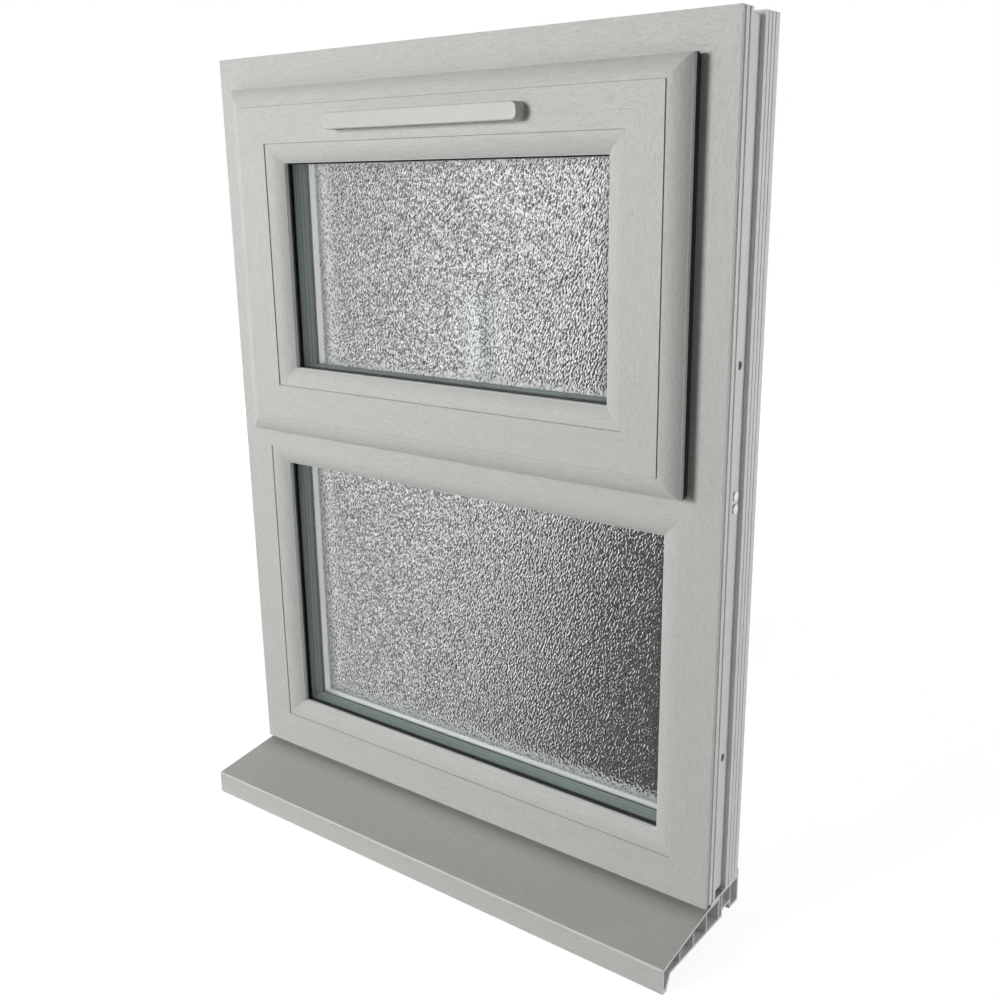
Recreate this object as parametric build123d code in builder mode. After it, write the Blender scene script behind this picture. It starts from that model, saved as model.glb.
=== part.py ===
# Top-hung casement window: an opening light over a fixed light, in a hollow plastic frame
# on a projecting cill. Millimetres. X runs to the right as seen from outside, Y runs from
# outside to inside, Z is up. The origin is in the middle of the cill seat, under the plane
# of the frame's outside face. A section is drawn as (depth inwards from the frame's outer
# edge, Y).
from build123d import *
from math import cos, pi, radians, sin, tan
import os

os.makedirs("parts", exist_ok=True)

# Overall sizes
frame_width = 627.0
frame_height = 819.0
frame_depth = 70.0
transom_height = 405.5
cill_rise = 29.3

# Hollow profile walls
wall = 2.8
web = 1.6
fit_gap = 0.05
slide_gap = 0.2
overrun = 1.0

# Outer frame and transom section
leg_height = 41.7
upstand_height = 62.0
rebate_depth = 48.0
transom_leg = 31.5
front_web_at = 11.0
side_groove_depth = 1.5
side_groove_width = 3.0
first_groove_at = 4.4
second_groove_at = 12.6
recess_start = 20.4
recess_end = 42.6
recess_depth = 4.0
rear_groove_depth = 1.0
rear_groove_width = 1.6
rear_groove_pitch = 6.6
rear_groove_first = 48.2
rear_groove_count = 3

# Seal groove in each upstand, and the rubber that sits in it
seal_groove_inset = 3.0
seal_groove_width = 3.0
seal_groove_depth = 3.0
seal_lip = 1.3
seal_play = 0.1
weather_gap = 4.0
weather_play = 0.3

# Sash section
sash_overlap = 8.4
sash_proud = 24.7
sash_lip_proud = 14.7
sash_gap = 5.5
sash_rail = 57.3
ovolo_width = 20.0
quirk_step = 1.2
hardware_gap = 12.3
sash_front_web = 13.0
sash_steel_depth = 20.0
flange_wall = 3.2
groove_inset = 13.0
groove_width = 16.4
groove_depth = 2.5
channel_width = 12.4
channel_depth = 7.0

# Glazing
glass_setback = 17.0
pane = 4.0
cavity = 20.0
edge_gap = 6.3
edge_seal_depth = 8.0
spacer_height = 7.0
spacer_wall = 0.8
bead_width = 19.9
bead_drop = 9.1
bead_wall = 2.2
bead_toe = 4.0
bead_gasket = 3.0
bead_gasket_width = 5.0
bead_gasket_inset = 0.4
clip_depth = 2.8
clip_width = 3.0
clip_at = 5.0
packer_length = 60.0
packer_place_share = 0.3

# Steel bars inside the hollow profiles
steel_wall = 1.5
steel_gap = 0.5
steel_setback = 75.0

# Transom joint: a block in each end of the transom, screwed through the jamb
cleat_length = 40.0
cleat_screw_pitch = 12.0
cleat_screw_radius = 2.4
cleat_screw_head = 4.5
cleat_screw_head_height = 2.2
cleat_screw_length = 74.0

# Fixing holes through each jamb
fixing_radius = 4.1
fixing_low = 150.0
fixing_high = 530.0

# Drainage slots, under the fixed light
drain_length = 25.0
drain_width = 4.0
drain_place_share = 0.29

# Cill section
cill_front = 83.0
cill_back = 2.5
cill_wall = 2.4
cill_web = 1.6
cill_nose_top = 11.7
cill_nose_drop = 15.3
cill_nose_depth = 8.4
cill_nose_slant = 6.8
cill_slope_end = 11.2
cill_slope_top = 26.2
cill_step = 1.4
cill_upstand = 7.2
cill_nose_round = 2.0
cill_web_first = 32.6
cill_web_pitch = 26.8
cill_web_count = 4
channel_rise = 7.9
channel_flat = 15.0
rear_foot = 18.6
cill_screw_radius = 2.4
cill_screw_head = 4.8
cill_screw_head_height = 2.4
cill_screw_place_share = 0.37

# Friction stays: an arm, a plate on the sash and a slideway on the jamb
stay_arm = 66.0
stay_angle = 18.0
stay_tilt = 15.5
stay_travel = 40.0
slide_depth = 47.2
slide_back = 39.5
stay_width = 10.0
track_thickness = 2.5
slideway_width = 4.6
stay_pin_radius = 2.4
pivot_radius = 3.6
arm_lift = 6.8
arm_thickness = 2.2
plate_thickness = 2.8
shoe_length = 22.0
shoe_width = 9.0
shoe_thickness = 3.0
track_screw_shares = (-0.08, -0.34)
plate_screw_shares = (-0.16, 0.16)

# Small countersunk screws for the hardware
screw_radius = 1.9
screw_head = 3.7
screw_head_height = 1.8
screw_length = 16.0
screw_gap = 0.1

# Locking gear in the bottom rail of the sash
handle_backset = 25.0
faceplate_setback = 49.5
faceplate_thickness = 2.3
faceplate_gap = 0.1
drive_rail_width = 9.0
drive_rail_thickness = 2.2
drive_rail_setback = 45.0
cam_inset = 15.0
cam_pin_radius = 3.0
cam_head_radius = 4.5
cam_reach = 8.8
cam_head_height = 4.6
keep_height = 8.3
keep_base = 1.5
keep_length = 12.0
keep_tail = 26.0
keep_wall = 4.5
keep_play = 0.8
keep_screw_shares = (0.4, 0.78)
espag_screw_inset = 21.0
gear_module = 1.5
pinion_teeth = 16
sector_teeth = 7
tooth_backlash = 0.15
tooth_root_share = 1.25
pressure_angle = 20.0
rack_teeth = 9
rack_depth = 6.0
gear_hub_radius = 6.9
gear_hub_gap = 0.08
gearbox_length = 70.0
gearbox_wall = 1.2
gearbox_gap = 0.2
handle_turn = 90.0

# Handle
spindle_side = 7.0
spindle_gap = 0.1
spindle_hole_radius = 5.4
spindle_inner = 3.0
base_length = 62.0
base_height = 25.0
base_depth = 8.0
base_round = 8.0
collar_radius = 10.0
collar_depth = 4.0
lever_gap = 0.3
lever_hub_radius = 8.5
lever_hub_depth = 14.0
lever_length = 112.0
lever_width = 15.0
lever_depth = 9.0
lever_round = 3.0
socket_depth = 6.0
button_radius = 4.0
button_gap = 0.1
button_depth = 6.2
button_proud = 2.2
button_travel = 2.0
handle_screw_pitch = 43.0
handle_screw_radius = 2.4
handle_screw_head = 4.6
handle_screw_head_height = 2.4
handle_screw_length = 13.0

# Trickle vent in the head of the sash
canopy_length = 241.2
canopy_height = 16.3
canopy_depth = 14.0
canopy_round = 6.4
canopy_edge = 1.4
canopy_wall = 1.8
canopy_slots = 9
canopy_slot_length = 18.0
canopy_slot_depth = 7.0
air_slot_length = 96.0
air_slot_height = 8.0
air_slot_gap = 16.0
vent_body_length = 262.0
vent_body_height = 25.0
vent_body_depth = 12.0
vent_wall = 2.0
vent_slots = 9
vent_slot_length = 12.0
vent_slot_height = 9.0
vent_slot_pitch = 24.0
shutter_length = 226.0
shutter_height = 14.0
shutter_thickness = 1.6
shutter_travel = 12.0
shutter_knob = 5.0
guide_height = 2.2
guide_lip = 1.2
guide_hook = 1.6
vent_screw_share = 0.47
vent_body_gap = 2.5

# Places worked out from the sizes above
half_width = frame_width / 2
frame_high = cill_rise + frame_height
transom_z = cill_rise + transom_height
vent_low = transom_z + transom_leg / 2 - leg_height
fixed_high = transom_z - transom_leg / 2 + leg_height
frame_light = (half_width, cill_rise, frame_high)
vent_light = (half_width, vent_low, frame_high)
fixed_light = (half_width, cill_rise, fixed_high)
upstand_rise = upstand_height - leg_height
seal_out = upstand_height - seal_groove_inset
seal_in = seal_out - seal_groove_width
recess_mid = (recess_start + recess_end) / 2
sash_lip = leg_height - sash_overlap
sash_side = leg_height + hardware_gap
sash_platform = sash_lip + sash_rail
sash_face = -sash_proud
sash_rear = rebate_depth - weather_gap
sash_upstand = sash_face + rebate_depth
groove_mid = sash_rear - groove_inset
half_groove = groove_width / 2
half_channel = channel_width / 2
sash_steel_end = groove_mid - half_groove - web
sash_steel_start = sash_steel_end - sash_steel_depth
unit_depth = 2 * pane + cavity
hardware_screw = (screw_radius, screw_head, screw_head_height, screw_length)

SIDES = ("bottom", "right", "top", "left")
UP = Vector(0, 0, 1)
RIGHT = Vector(1, 0, 0)


# Shared shapes
def finish(piece, name):
    piece.label = name
    export_step(piece, f"parts/{name}.step")


def band(low, high, front, back, mode=Mode.ADD):
    with Locations(((low + high) / 2, (front + back) / 2)):
        Rectangle(high - low, back - front, mode=mode)


def cut_box(low, high):
    corner = Vector(*low)
    size = Vector(*high) - corner
    middle = corner + size / 2
    with Locations((middle.X, middle.Y, middle.Z)):
        Box(size.X, size.Y, size.Z, mode=Mode.SUBTRACT)


def side_run(light, side):
    half, low, high = light
    runs = {
        "bottom": (Vector(half, 0, low), -RIGHT, UP, 2 * half),
        "right": (Vector(half, 0, high), -UP, -RIGHT, high - low),
        "top": (Vector(-half, 0, high), RIGHT, -UP, 2 * half),
        "left": (Vector(-half, 0, low), UP, RIGHT, high - low),
    }
    return runs[side]


def mitred_bar(section, light, side):
    corner, along, inward, length = side_run(light, side)
    with BuildPart() as bar:
        with BuildSketch(Plane(origin=corner, x_dir=inward, z_dir=along)):
            add(section)
        extrude(amount=length)
        split(bisect_by=Plane(origin=corner, z_dir=along - inward), keep=Keep.TOP)
        far_corner = corner + along * length
        split(bisect_by=Plane(origin=far_corner, z_dir=-along - inward), keep=Keep.TOP)
    return bar.part


def straight_bar(section, light, side, setback):
    corner, along, inward, length = side_run(light, side)
    with BuildPart() as bar:
        with BuildSketch(Plane(origin=corner + along * setback, x_dir=inward, z_dir=along)):
            add(section)
        extrude(amount=length - 2 * setback)
    return bar.part


def mitred_ring(section, light):
    with BuildPart() as ring:
        for side in SIDES:
            add(mitred_bar(section, light, side))
    return ring.part


def box_tube(low, high, front, back, gap, thickness):
    band(low + gap, high - gap, front + gap, back - gap)
    inset = gap + thickness
    band(low + inset, high - inset, front + inset, back - inset, mode=Mode.SUBTRACT)


def screw(plane, sizes, gap=0.0):
    radius, head_radius, head_height, length = sizes
    with BuildPart(plane) as body:
        with Locations((0, 0, -length / 2)):
            Cylinder(radius + gap, length)
        with Locations((0, 0, -head_height / 2)):
            Cone(radius + gap, head_radius + gap, head_height)
    return body.part


def pan_screw(plane, sizes, gap=0.0):
    radius, head_radius, head_height, length = sizes
    with BuildPart(plane) as body:
        with Locations((0, 0, -length / 2)):
            Cylinder(radius + gap, length)
        with Locations((0, 0, head_height / 2)):
            Cylinder(head_radius, head_height)
    return body.part


# Sections of the outer frame, transom and sash
with BuildSketch() as frame_section:
    band(0, leg_height, 0, frame_depth)
    band(leg_height, upstand_height, rebate_depth, frame_depth)
    for start in (first_groove_at, second_groove_at):
        band(0, side_groove_depth, start, start + side_groove_width, mode=Mode.SUBTRACT)
    band(0, recess_depth, recess_start, recess_end, mode=Mode.SUBTRACT)
    for step in range(rear_groove_count):
        start = rear_groove_first + step * rear_groove_pitch
        band(0, rear_groove_depth, start, start + rear_groove_width, mode=Mode.SUBTRACT)
    band(leg_height - clip_depth, leg_height, clip_at, clip_at + clip_width, mode=Mode.SUBTRACT)
    grooved = wall + side_groove_depth
    platform_wall = clip_depth + wall
    band(grooved, leg_height - platform_wall, wall, front_web_at - web / 2, mode=Mode.SUBTRACT)
    band(grooved, leg_height - wall, front_web_at + web / 2, recess_start - web, mode=Mode.SUBTRACT)
    band(recess_depth + wall, leg_height - wall, recess_start, rebate_depth - wall, mode=Mode.SUBTRACT)
    rear_start = rebate_depth - wall + web
    rear_end = frame_depth - wall
    band(wall + rear_groove_depth, leg_height - wall, rear_start, rear_end, mode=Mode.SUBTRACT)
    inner_start = rebate_depth + seal_groove_depth + wall
    band(leg_height - wall + web, upstand_height - wall, inner_start, rear_end, mode=Mode.SUBTRACT)

with BuildSketch() as seal_groove_section:
    band(seal_in, seal_out, rebate_depth, rebate_depth + seal_groove_depth)

with BuildSketch() as frame_steel_section:
    steel_back = rebate_depth - wall
    box_tube(recess_depth + wall, leg_height - wall, recess_start, steel_back, steel_gap, steel_wall)

leg_half = transom_leg / 2
wide_half = leg_half + upstand_rise
with BuildSketch() as transom_section:
    band(-leg_half, leg_half, 0, rebate_depth)
    band(-wide_half, wide_half, rebate_depth, frame_depth)
    for turn in (-1, 1):
        low, high = sorted((turn * leg_half, turn * (leg_half - clip_depth)))
        band(low, high, clip_at, clip_at + clip_width, mode=Mode.SUBTRACT)
    inner = leg_half - platform_wall
    band(-inner, inner, wall, front_web_at - web / 2, mode=Mode.SUBTRACT)
    inner = leg_half - wall
    band(-inner, inner, front_web_at + web / 2, recess_start - web, mode=Mode.SUBTRACT)
    band(-inner, inner, recess_start, rebate_depth - wall, mode=Mode.SUBTRACT)
    inner = wide_half - wall
    band(-inner, inner, inner_start, rear_end, mode=Mode.SUBTRACT)

with BuildSketch() as sash_section:
    quirk = sash_lip + ovolo_width
    with BuildLine():
        ovolo_start = (quirk, sash_face + quirk_step)
        ovolo_end = (sash_lip, -sash_lip_proud)
        TangentArc(ovolo_start, ovolo_end, tangent=(-1, 0))
        Polyline(
            ovolo_end,
            (sash_lip, -sash_gap),
            (sash_side, -sash_gap),
            (sash_side, sash_rear),
            (sash_platform + upstand_rise, sash_rear),
            (sash_platform + upstand_rise, sash_upstand),
            (sash_platform, sash_upstand),
            (sash_platform, sash_face),
            (quirk, sash_face),
            ovolo_start,
        )
    make_face()
    for half, depth in ((half_groove, groove_depth), (half_channel, channel_depth)):
        band(sash_side, sash_side + depth, groove_mid - half, groove_mid + half, mode=Mode.SUBTRACT)
    clip_start = sash_face + clip_at
    band(sash_platform - clip_depth, sash_platform, clip_start, clip_start + clip_width, mode=Mode.SUBTRACT)
    seal_shift = sash_platform - leg_height
    seal_floor = sash_upstand + seal_groove_depth
    band(seal_in + seal_shift, seal_out + seal_shift, sash_upstand, seal_floor, mode=Mode.SUBTRACT)
    body_start = sash_side + wall
    front_web = sash_face + sash_front_web
    body_end = sash_platform - wall
    front_end = sash_platform - platform_wall
    band(body_start, front_end, sash_face + wall, front_web - web / 2, mode=Mode.SUBTRACT)
    band(body_start, body_end, front_web + web / 2, sash_steel_start - web, mode=Mode.SUBTRACT)
    band(body_start, body_end, sash_steel_start, sash_steel_end, mode=Mode.SUBTRACT)
    gear_chamber_low = sash_side + channel_depth + wall
    gear_chamber_front = sash_steel_end + web
    band(gear_chamber_low, body_end, gear_chamber_front, sash_rear - wall, mode=Mode.SUBTRACT)
    inner_low = sash_platform - wall + web
    inner_high = sash_platform + upstand_rise - wall
    band(inner_low, inner_high, seal_floor + wall, sash_rear - wall, mode=Mode.SUBTRACT)
    flange_low = (sash_lip + quirk) / 2
    flange_front = -sash_lip_proud - flange_wall
    band(flange_low, quirk - wall, flange_front, -sash_gap - wall, mode=Mode.SUBTRACT)

with BuildSketch() as sash_steel_section:
    box_tube(body_start, body_end, sash_steel_start, sash_steel_end, steel_gap, steel_wall)


def facing_out(x, y, z):
    return Plane(origin=(x, y, z), x_dir=(1, 0, 0), z_dir=(0, -1, 0))


# Screw and hole places on the frame
jamb_screw_sizes = (cleat_screw_radius, cleat_screw_head, cleat_screw_head_height, cleat_screw_length)
transom_screw_planes = [
    Plane(origin=(turn * (half_width - recess_depth), recess_mid, transom_z + side), z_dir=(turn, 0, 0))
    for turn in (-1, 1)
    for side in (-cleat_screw_pitch / 2, cleat_screw_pitch / 2)
]
fixing_planes = [
    Plane(origin=(turn * half_width, recess_mid, cill_rise + height), z_dir=(turn, 0, 0))
    for turn in (-1, 1)
    for height in (fixing_low, fixing_high)
]
cill_screw_reach = cill_rise - channel_rise + recess_depth + wall + steel_gap + 2 * steel_wall
cill_screw_sizes = (cill_screw_radius, cill_screw_head, cill_screw_head_height, cill_screw_reach)
cill_channel_front = frame_depth + cill_back - rear_foot - cill_web - channel_flat
cill_screw_y = cill_channel_front + channel_flat / 2
cill_screw_planes = [
    Plane(origin=(share * frame_width, cill_screw_y, channel_rise), z_dir=(0, 0, -1))
    for share in (-cill_screw_place_share, 0, cill_screw_place_share)
]

# Places on the friction stays, as (Y, Z) points
stay_span = 2 * stay_arm * cos(radians(stay_angle))
slide_point = (slide_back, frame_high - slide_depth)
track_lean = radians(stay_tilt)
fixed_y = slide_point[0] - stay_span * sin(track_lean)
fixed_z = slide_point[1] - stay_span * cos(track_lean)
fixed_point = (fixed_y, fixed_z)
arm_lean = radians(stay_angle - stay_tilt)
vent_point = (fixed_y - stay_arm * sin(arm_lean), fixed_z + stay_arm * cos(arm_lean))
slide_length = stay_span - 2 * stay_arm * cos(radians(stay_angle + stay_travel))


def stay_plane(turn, depth, start, end, facing):
    middle = ((start[0] + end[0]) / 2, (start[1] + end[1]) / 2)
    along = (0, end[0] - start[0], end[1] - start[1])
    origin = (turn * (half_width - depth), middle[0], middle[1])
    return Plane(origin=origin, x_dir=along, z_dir=(turn * facing, 0, 0))


def on_line(plane, place):
    return Plane(origin=plane.origin + plane.x_dir * place, x_dir=plane.x_dir, z_dir=plane.z_dir)


track_top = leg_height + track_thickness
arm_low = leg_height + arm_lift
plate_low = sash_side - plate_thickness
track_screw_planes = [
    on_line(stay_plane(turn, track_top, fixed_point, slide_point, -1), share * stay_span)
    for turn in (-1, 1)
    for share in track_screw_shares
]
plate_screw_planes = [
    on_line(stay_plane(turn, plate_low, vent_point, slide_point, 1), share * stay_arm)
    for turn in (-1, 1)
    for share in plate_screw_shares
]

# Places on the locking gear
pitch_radius = gear_module * pinion_teeth / 2
gear_addendum = gear_module
gear_dedendum = gear_module * tooth_root_share
gear_depth = sash_side + handle_backset
gear_z = vent_low + gear_depth
rail_travel = pitch_radius * radians(handle_turn)
faceplate_length = 2 * (half_width - sash_side - faceplate_setback)
drive_rail_length = faceplate_length - 2 * drive_rail_setback
cam_places = [turn * (drive_rail_length / 2 - cam_inset) for turn in (-1, 1)]
faceplate_z = vent_low + sash_side + faceplate_gap
rail_low = sash_side + faceplate_gap + faceplate_thickness + slide_gap
keep_front = groove_mid - cam_head_radius - keep_play - keep_wall
keep_seat_z = vent_low + leg_height
keep_screw_planes = [
    Plane(origin=(place - rail_travel / 2 - share * keep_tail, groove_mid, keep_seat_z + keep_base))
    for place in cam_places
    for share in keep_screw_shares
]
espag_screw_x = faceplate_length / 2 - espag_screw_inset
espag_screw_planes = [
    Plane(origin=(place, groove_mid, faceplate_z), z_dir=(0, 0, -1))
    for place in (-espag_screw_x, espag_screw_x)
]
handle_screw_sizes = (handle_screw_radius, handle_screw_head, handle_screw_head_height, handle_screw_length)
base_front = sash_rear + base_depth
handle_screw_planes = [
    Plane(origin=(turn * handle_screw_pitch / 2, base_front, gear_z), z_dir=(0, 1, 0)) for turn in (-1, 1)
]

# Places on the trickle vent
vent_depth = (sash_lip + ovolo_width + sash_platform) / 2
vent_z = frame_high - vent_depth
vent_front = sash_rear + vent_body_depth
vent_body_z = frame_high - upstand_height - vent_body_gap - vent_body_height / 2
vent_screw_planes = [
    Plane(origin=(share * vent_body_length, vent_front, vent_body_z), z_dir=(0, 1, 0))
    for share in (-vent_screw_share, vent_screw_share)
]
air_slot_places = [turn * (air_slot_length + air_slot_gap) / 2 for turn in (-1, 1)]


# Outer frame: one welded ring with drainage slots, fixing holes and screw holes
def cut_holes(planes, sizes, gap):
    for plane in planes:
        add(screw(plane, sizes, gap), mode=Mode.SUBTRACT)


def cut_bores(planes, radius, depth):
    for plane in planes:
        with BuildSketch(plane) as bore:
            Circle(radius)
        extrude(bore.sketch, amount=-depth, mode=Mode.SUBTRACT)


def cut_seal_grooves():
    for light in (vent_light, fixed_light):
        add(mitred_ring(seal_groove_section.sketch, light), mode=Mode.SUBTRACT)


with BuildPart() as outer_frame:
    add(mitred_ring(frame_section.sketch, frame_light))
    cut_seal_grooves()
    cut_bores(fixing_planes, fixing_radius, leg_height + overrun)
    cut_bores(transom_screw_planes, cleat_screw_radius + fit_gap, leg_height)
    cut_bores(cill_screw_planes, cill_screw_radius + fit_gap, cill_screw_reach + overrun)
    cut_holes(track_screw_planes, hardware_screw, fit_gap)
    drain_y = front_web_at + web / 2 + drain_width
    for turn in (-1, 1):
        drain_x = turn * drain_place_share * frame_width
        low = (drain_x - drain_length / 2, drain_y - drain_width / 2, cill_rise - overrun)
        high = (drain_x + drain_length / 2, drain_y + drain_width / 2, cill_rise + leg_height + overrun)
        cut_box(low, high)
finish(outer_frame.part, "outer_frame")

# Steel bars in the outer frame, cut short of the welded corners
with BuildPart() as frame_reinforcement:
    for side in SIDES:
        add(straight_bar(frame_steel_section.sketch, frame_light, side, steel_setback))
    cut_bores(fixing_planes, fixing_radius, leg_height + overrun)
    cut_bores(transom_screw_planes, cleat_screw_radius + fit_gap, leg_height)
    cut_bores(cill_screw_planes, cill_screw_radius + fit_gap, cill_screw_reach + overrun)
    cut_holes(track_screw_planes, hardware_screw, fit_gap)
finish(frame_reinforcement.part, "frame_reinforcement")

# Transom: butted between the jambs, notched over their upstands
transom_half = half_width - leg_height
transom_plane = Plane(origin=(transom_half, 0, transom_z), x_dir=(0, 0, 1), z_dir=(-1, 0, 0))
with BuildPart() as transom:
    with BuildSketch(transom_plane):
        add(transom_section.sketch)
    extrude(amount=2 * transom_half)
    for turn in (-1, 1):
        ends = sorted((turn * (transom_half - upstand_rise), turn * (transom_half + overrun)))
        low = (ends[0], rebate_depth, transom_z - wide_half - overrun)
        high = (ends[1], frame_depth + overrun, transom_z + wide_half + overrun)
        cut_box(low, high)
    cut_seal_grooves()
    cut_holes(keep_screw_planes, hardware_screw, fit_gap)
finish(transom.part, "transom")

steel_half = leg_half - wall
with BuildPart() as transom_reinforcement:
    bar_half = transom_half - cleat_length - steel_gap
    bar_plane = Plane(origin=(bar_half, 0, transom_z), x_dir=(0, 0, 1), z_dir=(-1, 0, 0))
    with BuildSketch(bar_plane):
        box_tube(-steel_half, steel_half, recess_start, steel_back, steel_gap, steel_wall)
    extrude(amount=2 * bar_half)
    cut_holes(keep_screw_planes, hardware_screw, fit_gap)
finish(transom_reinforcement.part, "transom_reinforcement")

with BuildPart() as transom_cleats:
    cleat_half = steel_half - steel_gap
    for start in (transom_half, cleat_length - transom_half):
        with BuildSketch(Plane(origin=(start, 0, transom_z), x_dir=(0, 0, 1), z_dir=(-1, 0, 0))):
            band(-cleat_half, cleat_half, recess_start + steel_gap, steel_back - steel_gap)
        extrude(amount=cleat_length)
    cut_bores(transom_screw_planes, cleat_screw_radius + fit_gap, cleat_screw_length + overrun)
finish(transom_cleats.part, "transom_cleats")

with BuildPart() as transom_screws:
    for plane in transom_screw_planes:
        add(pan_screw(plane, jamb_screw_sizes))
finish(transom_screws.part, "transom_screws")

# Cill: a hollow board with a sloping top, open at both ends
cill_rear = frame_depth + cill_back


def slope_at(place):
    share = (place + cill_front) / (cill_slope_end + cill_front)
    return cill_nose_top + share * (cill_slope_top - cill_nose_top)


nose_back = cill_nose_depth - cill_front
channel_end = cill_channel_front + channel_flat
foot_front = cill_rear - rear_foot
web_places = [cill_web_first - cill_front + step * cill_web_pitch for step in range(cill_web_count)]
with BuildPart() as cill:
    with BuildSketch(Plane(origin=(half_width, 0, 0), x_dir=(0, 1, 0), z_dir=(1, 0, 0))):
        with BuildLine():
            Polyline(
                (-cill_front, cill_nose_top),
                (cill_slope_end, cill_slope_top),
                (cill_slope_end + cill_step, cill_rise),
                (frame_depth, cill_rise),
                (frame_depth, cill_rise + cill_upstand),
                (cill_rear, cill_rise + cill_upstand),
                (cill_rear, 0),
                (foot_front, 0),
                (channel_end, channel_rise),
                (cill_channel_front, channel_rise),
                (cill_channel_front, 0),
                (nose_back + cill_nose_slant, 0),
                (nose_back, cill_wall - cill_nose_drop),
                (nose_back, -cill_nose_drop),
                (-cill_front, -cill_nose_drop),
                close=True,
            )
        make_face()
        nose_corners = vertices().group_by(Axis.X)[0]
        fillet(nose_corners, cill_nose_round)
        with BuildLine():
            Polyline(
                (cill_wall - cill_front, slope_at(-cill_front) - cill_wall),
                (web_places[0] - cill_web / 2, slope_at(web_places[0]) - cill_wall),
                (web_places[0] - cill_web / 2, cill_wall),
                (nose_back + cill_nose_slant - cill_wall, cill_wall),
                (nose_back - cill_wall, cill_wall - cill_nose_drop + cill_wall),
                (cill_wall - cill_front, cill_wall - cill_nose_drop + cill_wall),
                close=True,
            )
        make_face(mode=Mode.SUBTRACT)
        for start, end in zip(web_places[:-1], web_places[1:]):
            left = start + cill_web / 2
            right = end - cill_web / 2
            with BuildLine():
                Polyline(
                    (left, cill_wall),
                    (right, cill_wall),
                    (right, slope_at(min(right, cill_slope_end)) - cill_wall),
                    (left, slope_at(left) - cill_wall),
                    close=True,
                )
            make_face(mode=Mode.SUBTRACT)
        platform_under = cill_rise - cill_wall
        rear_chambers = (
            (web_places[-1] + cill_web / 2, cill_channel_front - cill_web, cill_wall),
            (cill_channel_front, foot_front, channel_rise + cill_wall),
            (foot_front + cill_web, cill_rear - cill_wall, cill_wall),
        )
        for start, end, floor in rear_chambers:
            band(start, end, floor, platform_under, mode=Mode.SUBTRACT)
    extrude(amount=-frame_width)
    cut_bores(cill_screw_planes, cill_screw_radius + fit_gap, cill_rise)
finish(cill.part, "cill")

with BuildPart() as cill_screws:
    for plane in cill_screw_planes:
        add(pan_screw(plane, cill_screw_sizes))
finish(cill_screws.part, "cill_screws")


# Rubber seals in the upstand grooves
def groove_seal(shift, face, head):
    play = seal_play
    band(seal_in + shift + play, seal_out + shift - play, face, face + seal_groove_depth - play)
    band(seal_in + shift - seal_lip, seal_out + shift + seal_lip, face - head, face)


with BuildPart() as frame_weatherseal:
    with BuildSketch(mode=Mode.PRIVATE) as frame_weatherseal_section:
        groove_seal(0, rebate_depth, weather_gap - weather_play)
    add(mitred_ring(frame_weatherseal_section.sketch, vent_light))
finish(frame_weatherseal.part, "frame_weatherseal")

# Sash: one welded ring, routed for the locking gear, the handle and the trickle vent
with BuildPart() as sash_frame:
    add(mitred_ring(sash_section.sketch, vent_light))
    pocket_half = gearbox_length / 2 + gearbox_gap
    pocket_low = vent_low + sash_side + channel_depth - overrun
    low = (-pocket_half, groove_mid - half_channel, pocket_low)
    high = (pocket_half, groove_mid + half_channel, vent_low + gear_chamber_low + overrun)
    cut_box(low, high)
    with BuildSketch(Plane(origin=(0, sash_rear, gear_z), z_dir=(0, 1, 0))):
        Circle(spindle_hole_radius)
    extrude(amount=-(wall + overrun), mode=Mode.SUBTRACT)
    for place in air_slot_places:
        low = (place - air_slot_length / 2, sash_face - overrun, vent_z - air_slot_height / 2)
        high = (place + air_slot_length / 2, sash_rear + overrun, vent_z + air_slot_height / 2)
        cut_box(low, high)
    cut_holes(plate_screw_planes, hardware_screw, fit_gap)
    cut_holes(espag_screw_planes, hardware_screw, fit_gap)
    cut_holes(handle_screw_planes, handle_screw_sizes, fit_gap)
    cut_holes(vent_screw_planes, hardware_screw, fit_gap)
finish(sash_frame.part, "sash_frame")

with BuildPart() as sash_reinforcement:
    for side in SIDES:
        add(straight_bar(sash_steel_section.sketch, vent_light, side, sash_platform))
    for place in air_slot_places:
        low = (place - air_slot_length / 2, sash_face, vent_z - air_slot_height / 2)
        high = (place + air_slot_length / 2, sash_rear, vent_z + air_slot_height / 2)
        cut_box(low, high)
    cut_holes(plate_screw_planes, hardware_screw, fit_gap)
finish(sash_reinforcement.part, "sash_reinforcement")

with BuildPart() as sash_weatherseal:
    with BuildSketch(mode=Mode.PRIVATE) as sash_weatherseal_section:
        band(sash_lip + seal_lip, leg_height - seal_lip, -sash_gap, -weather_play)
    add(mitred_ring(sash_weatherseal_section.sketch, vent_light))
finish(sash_weatherseal.part, "sash_weatherseal")

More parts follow.
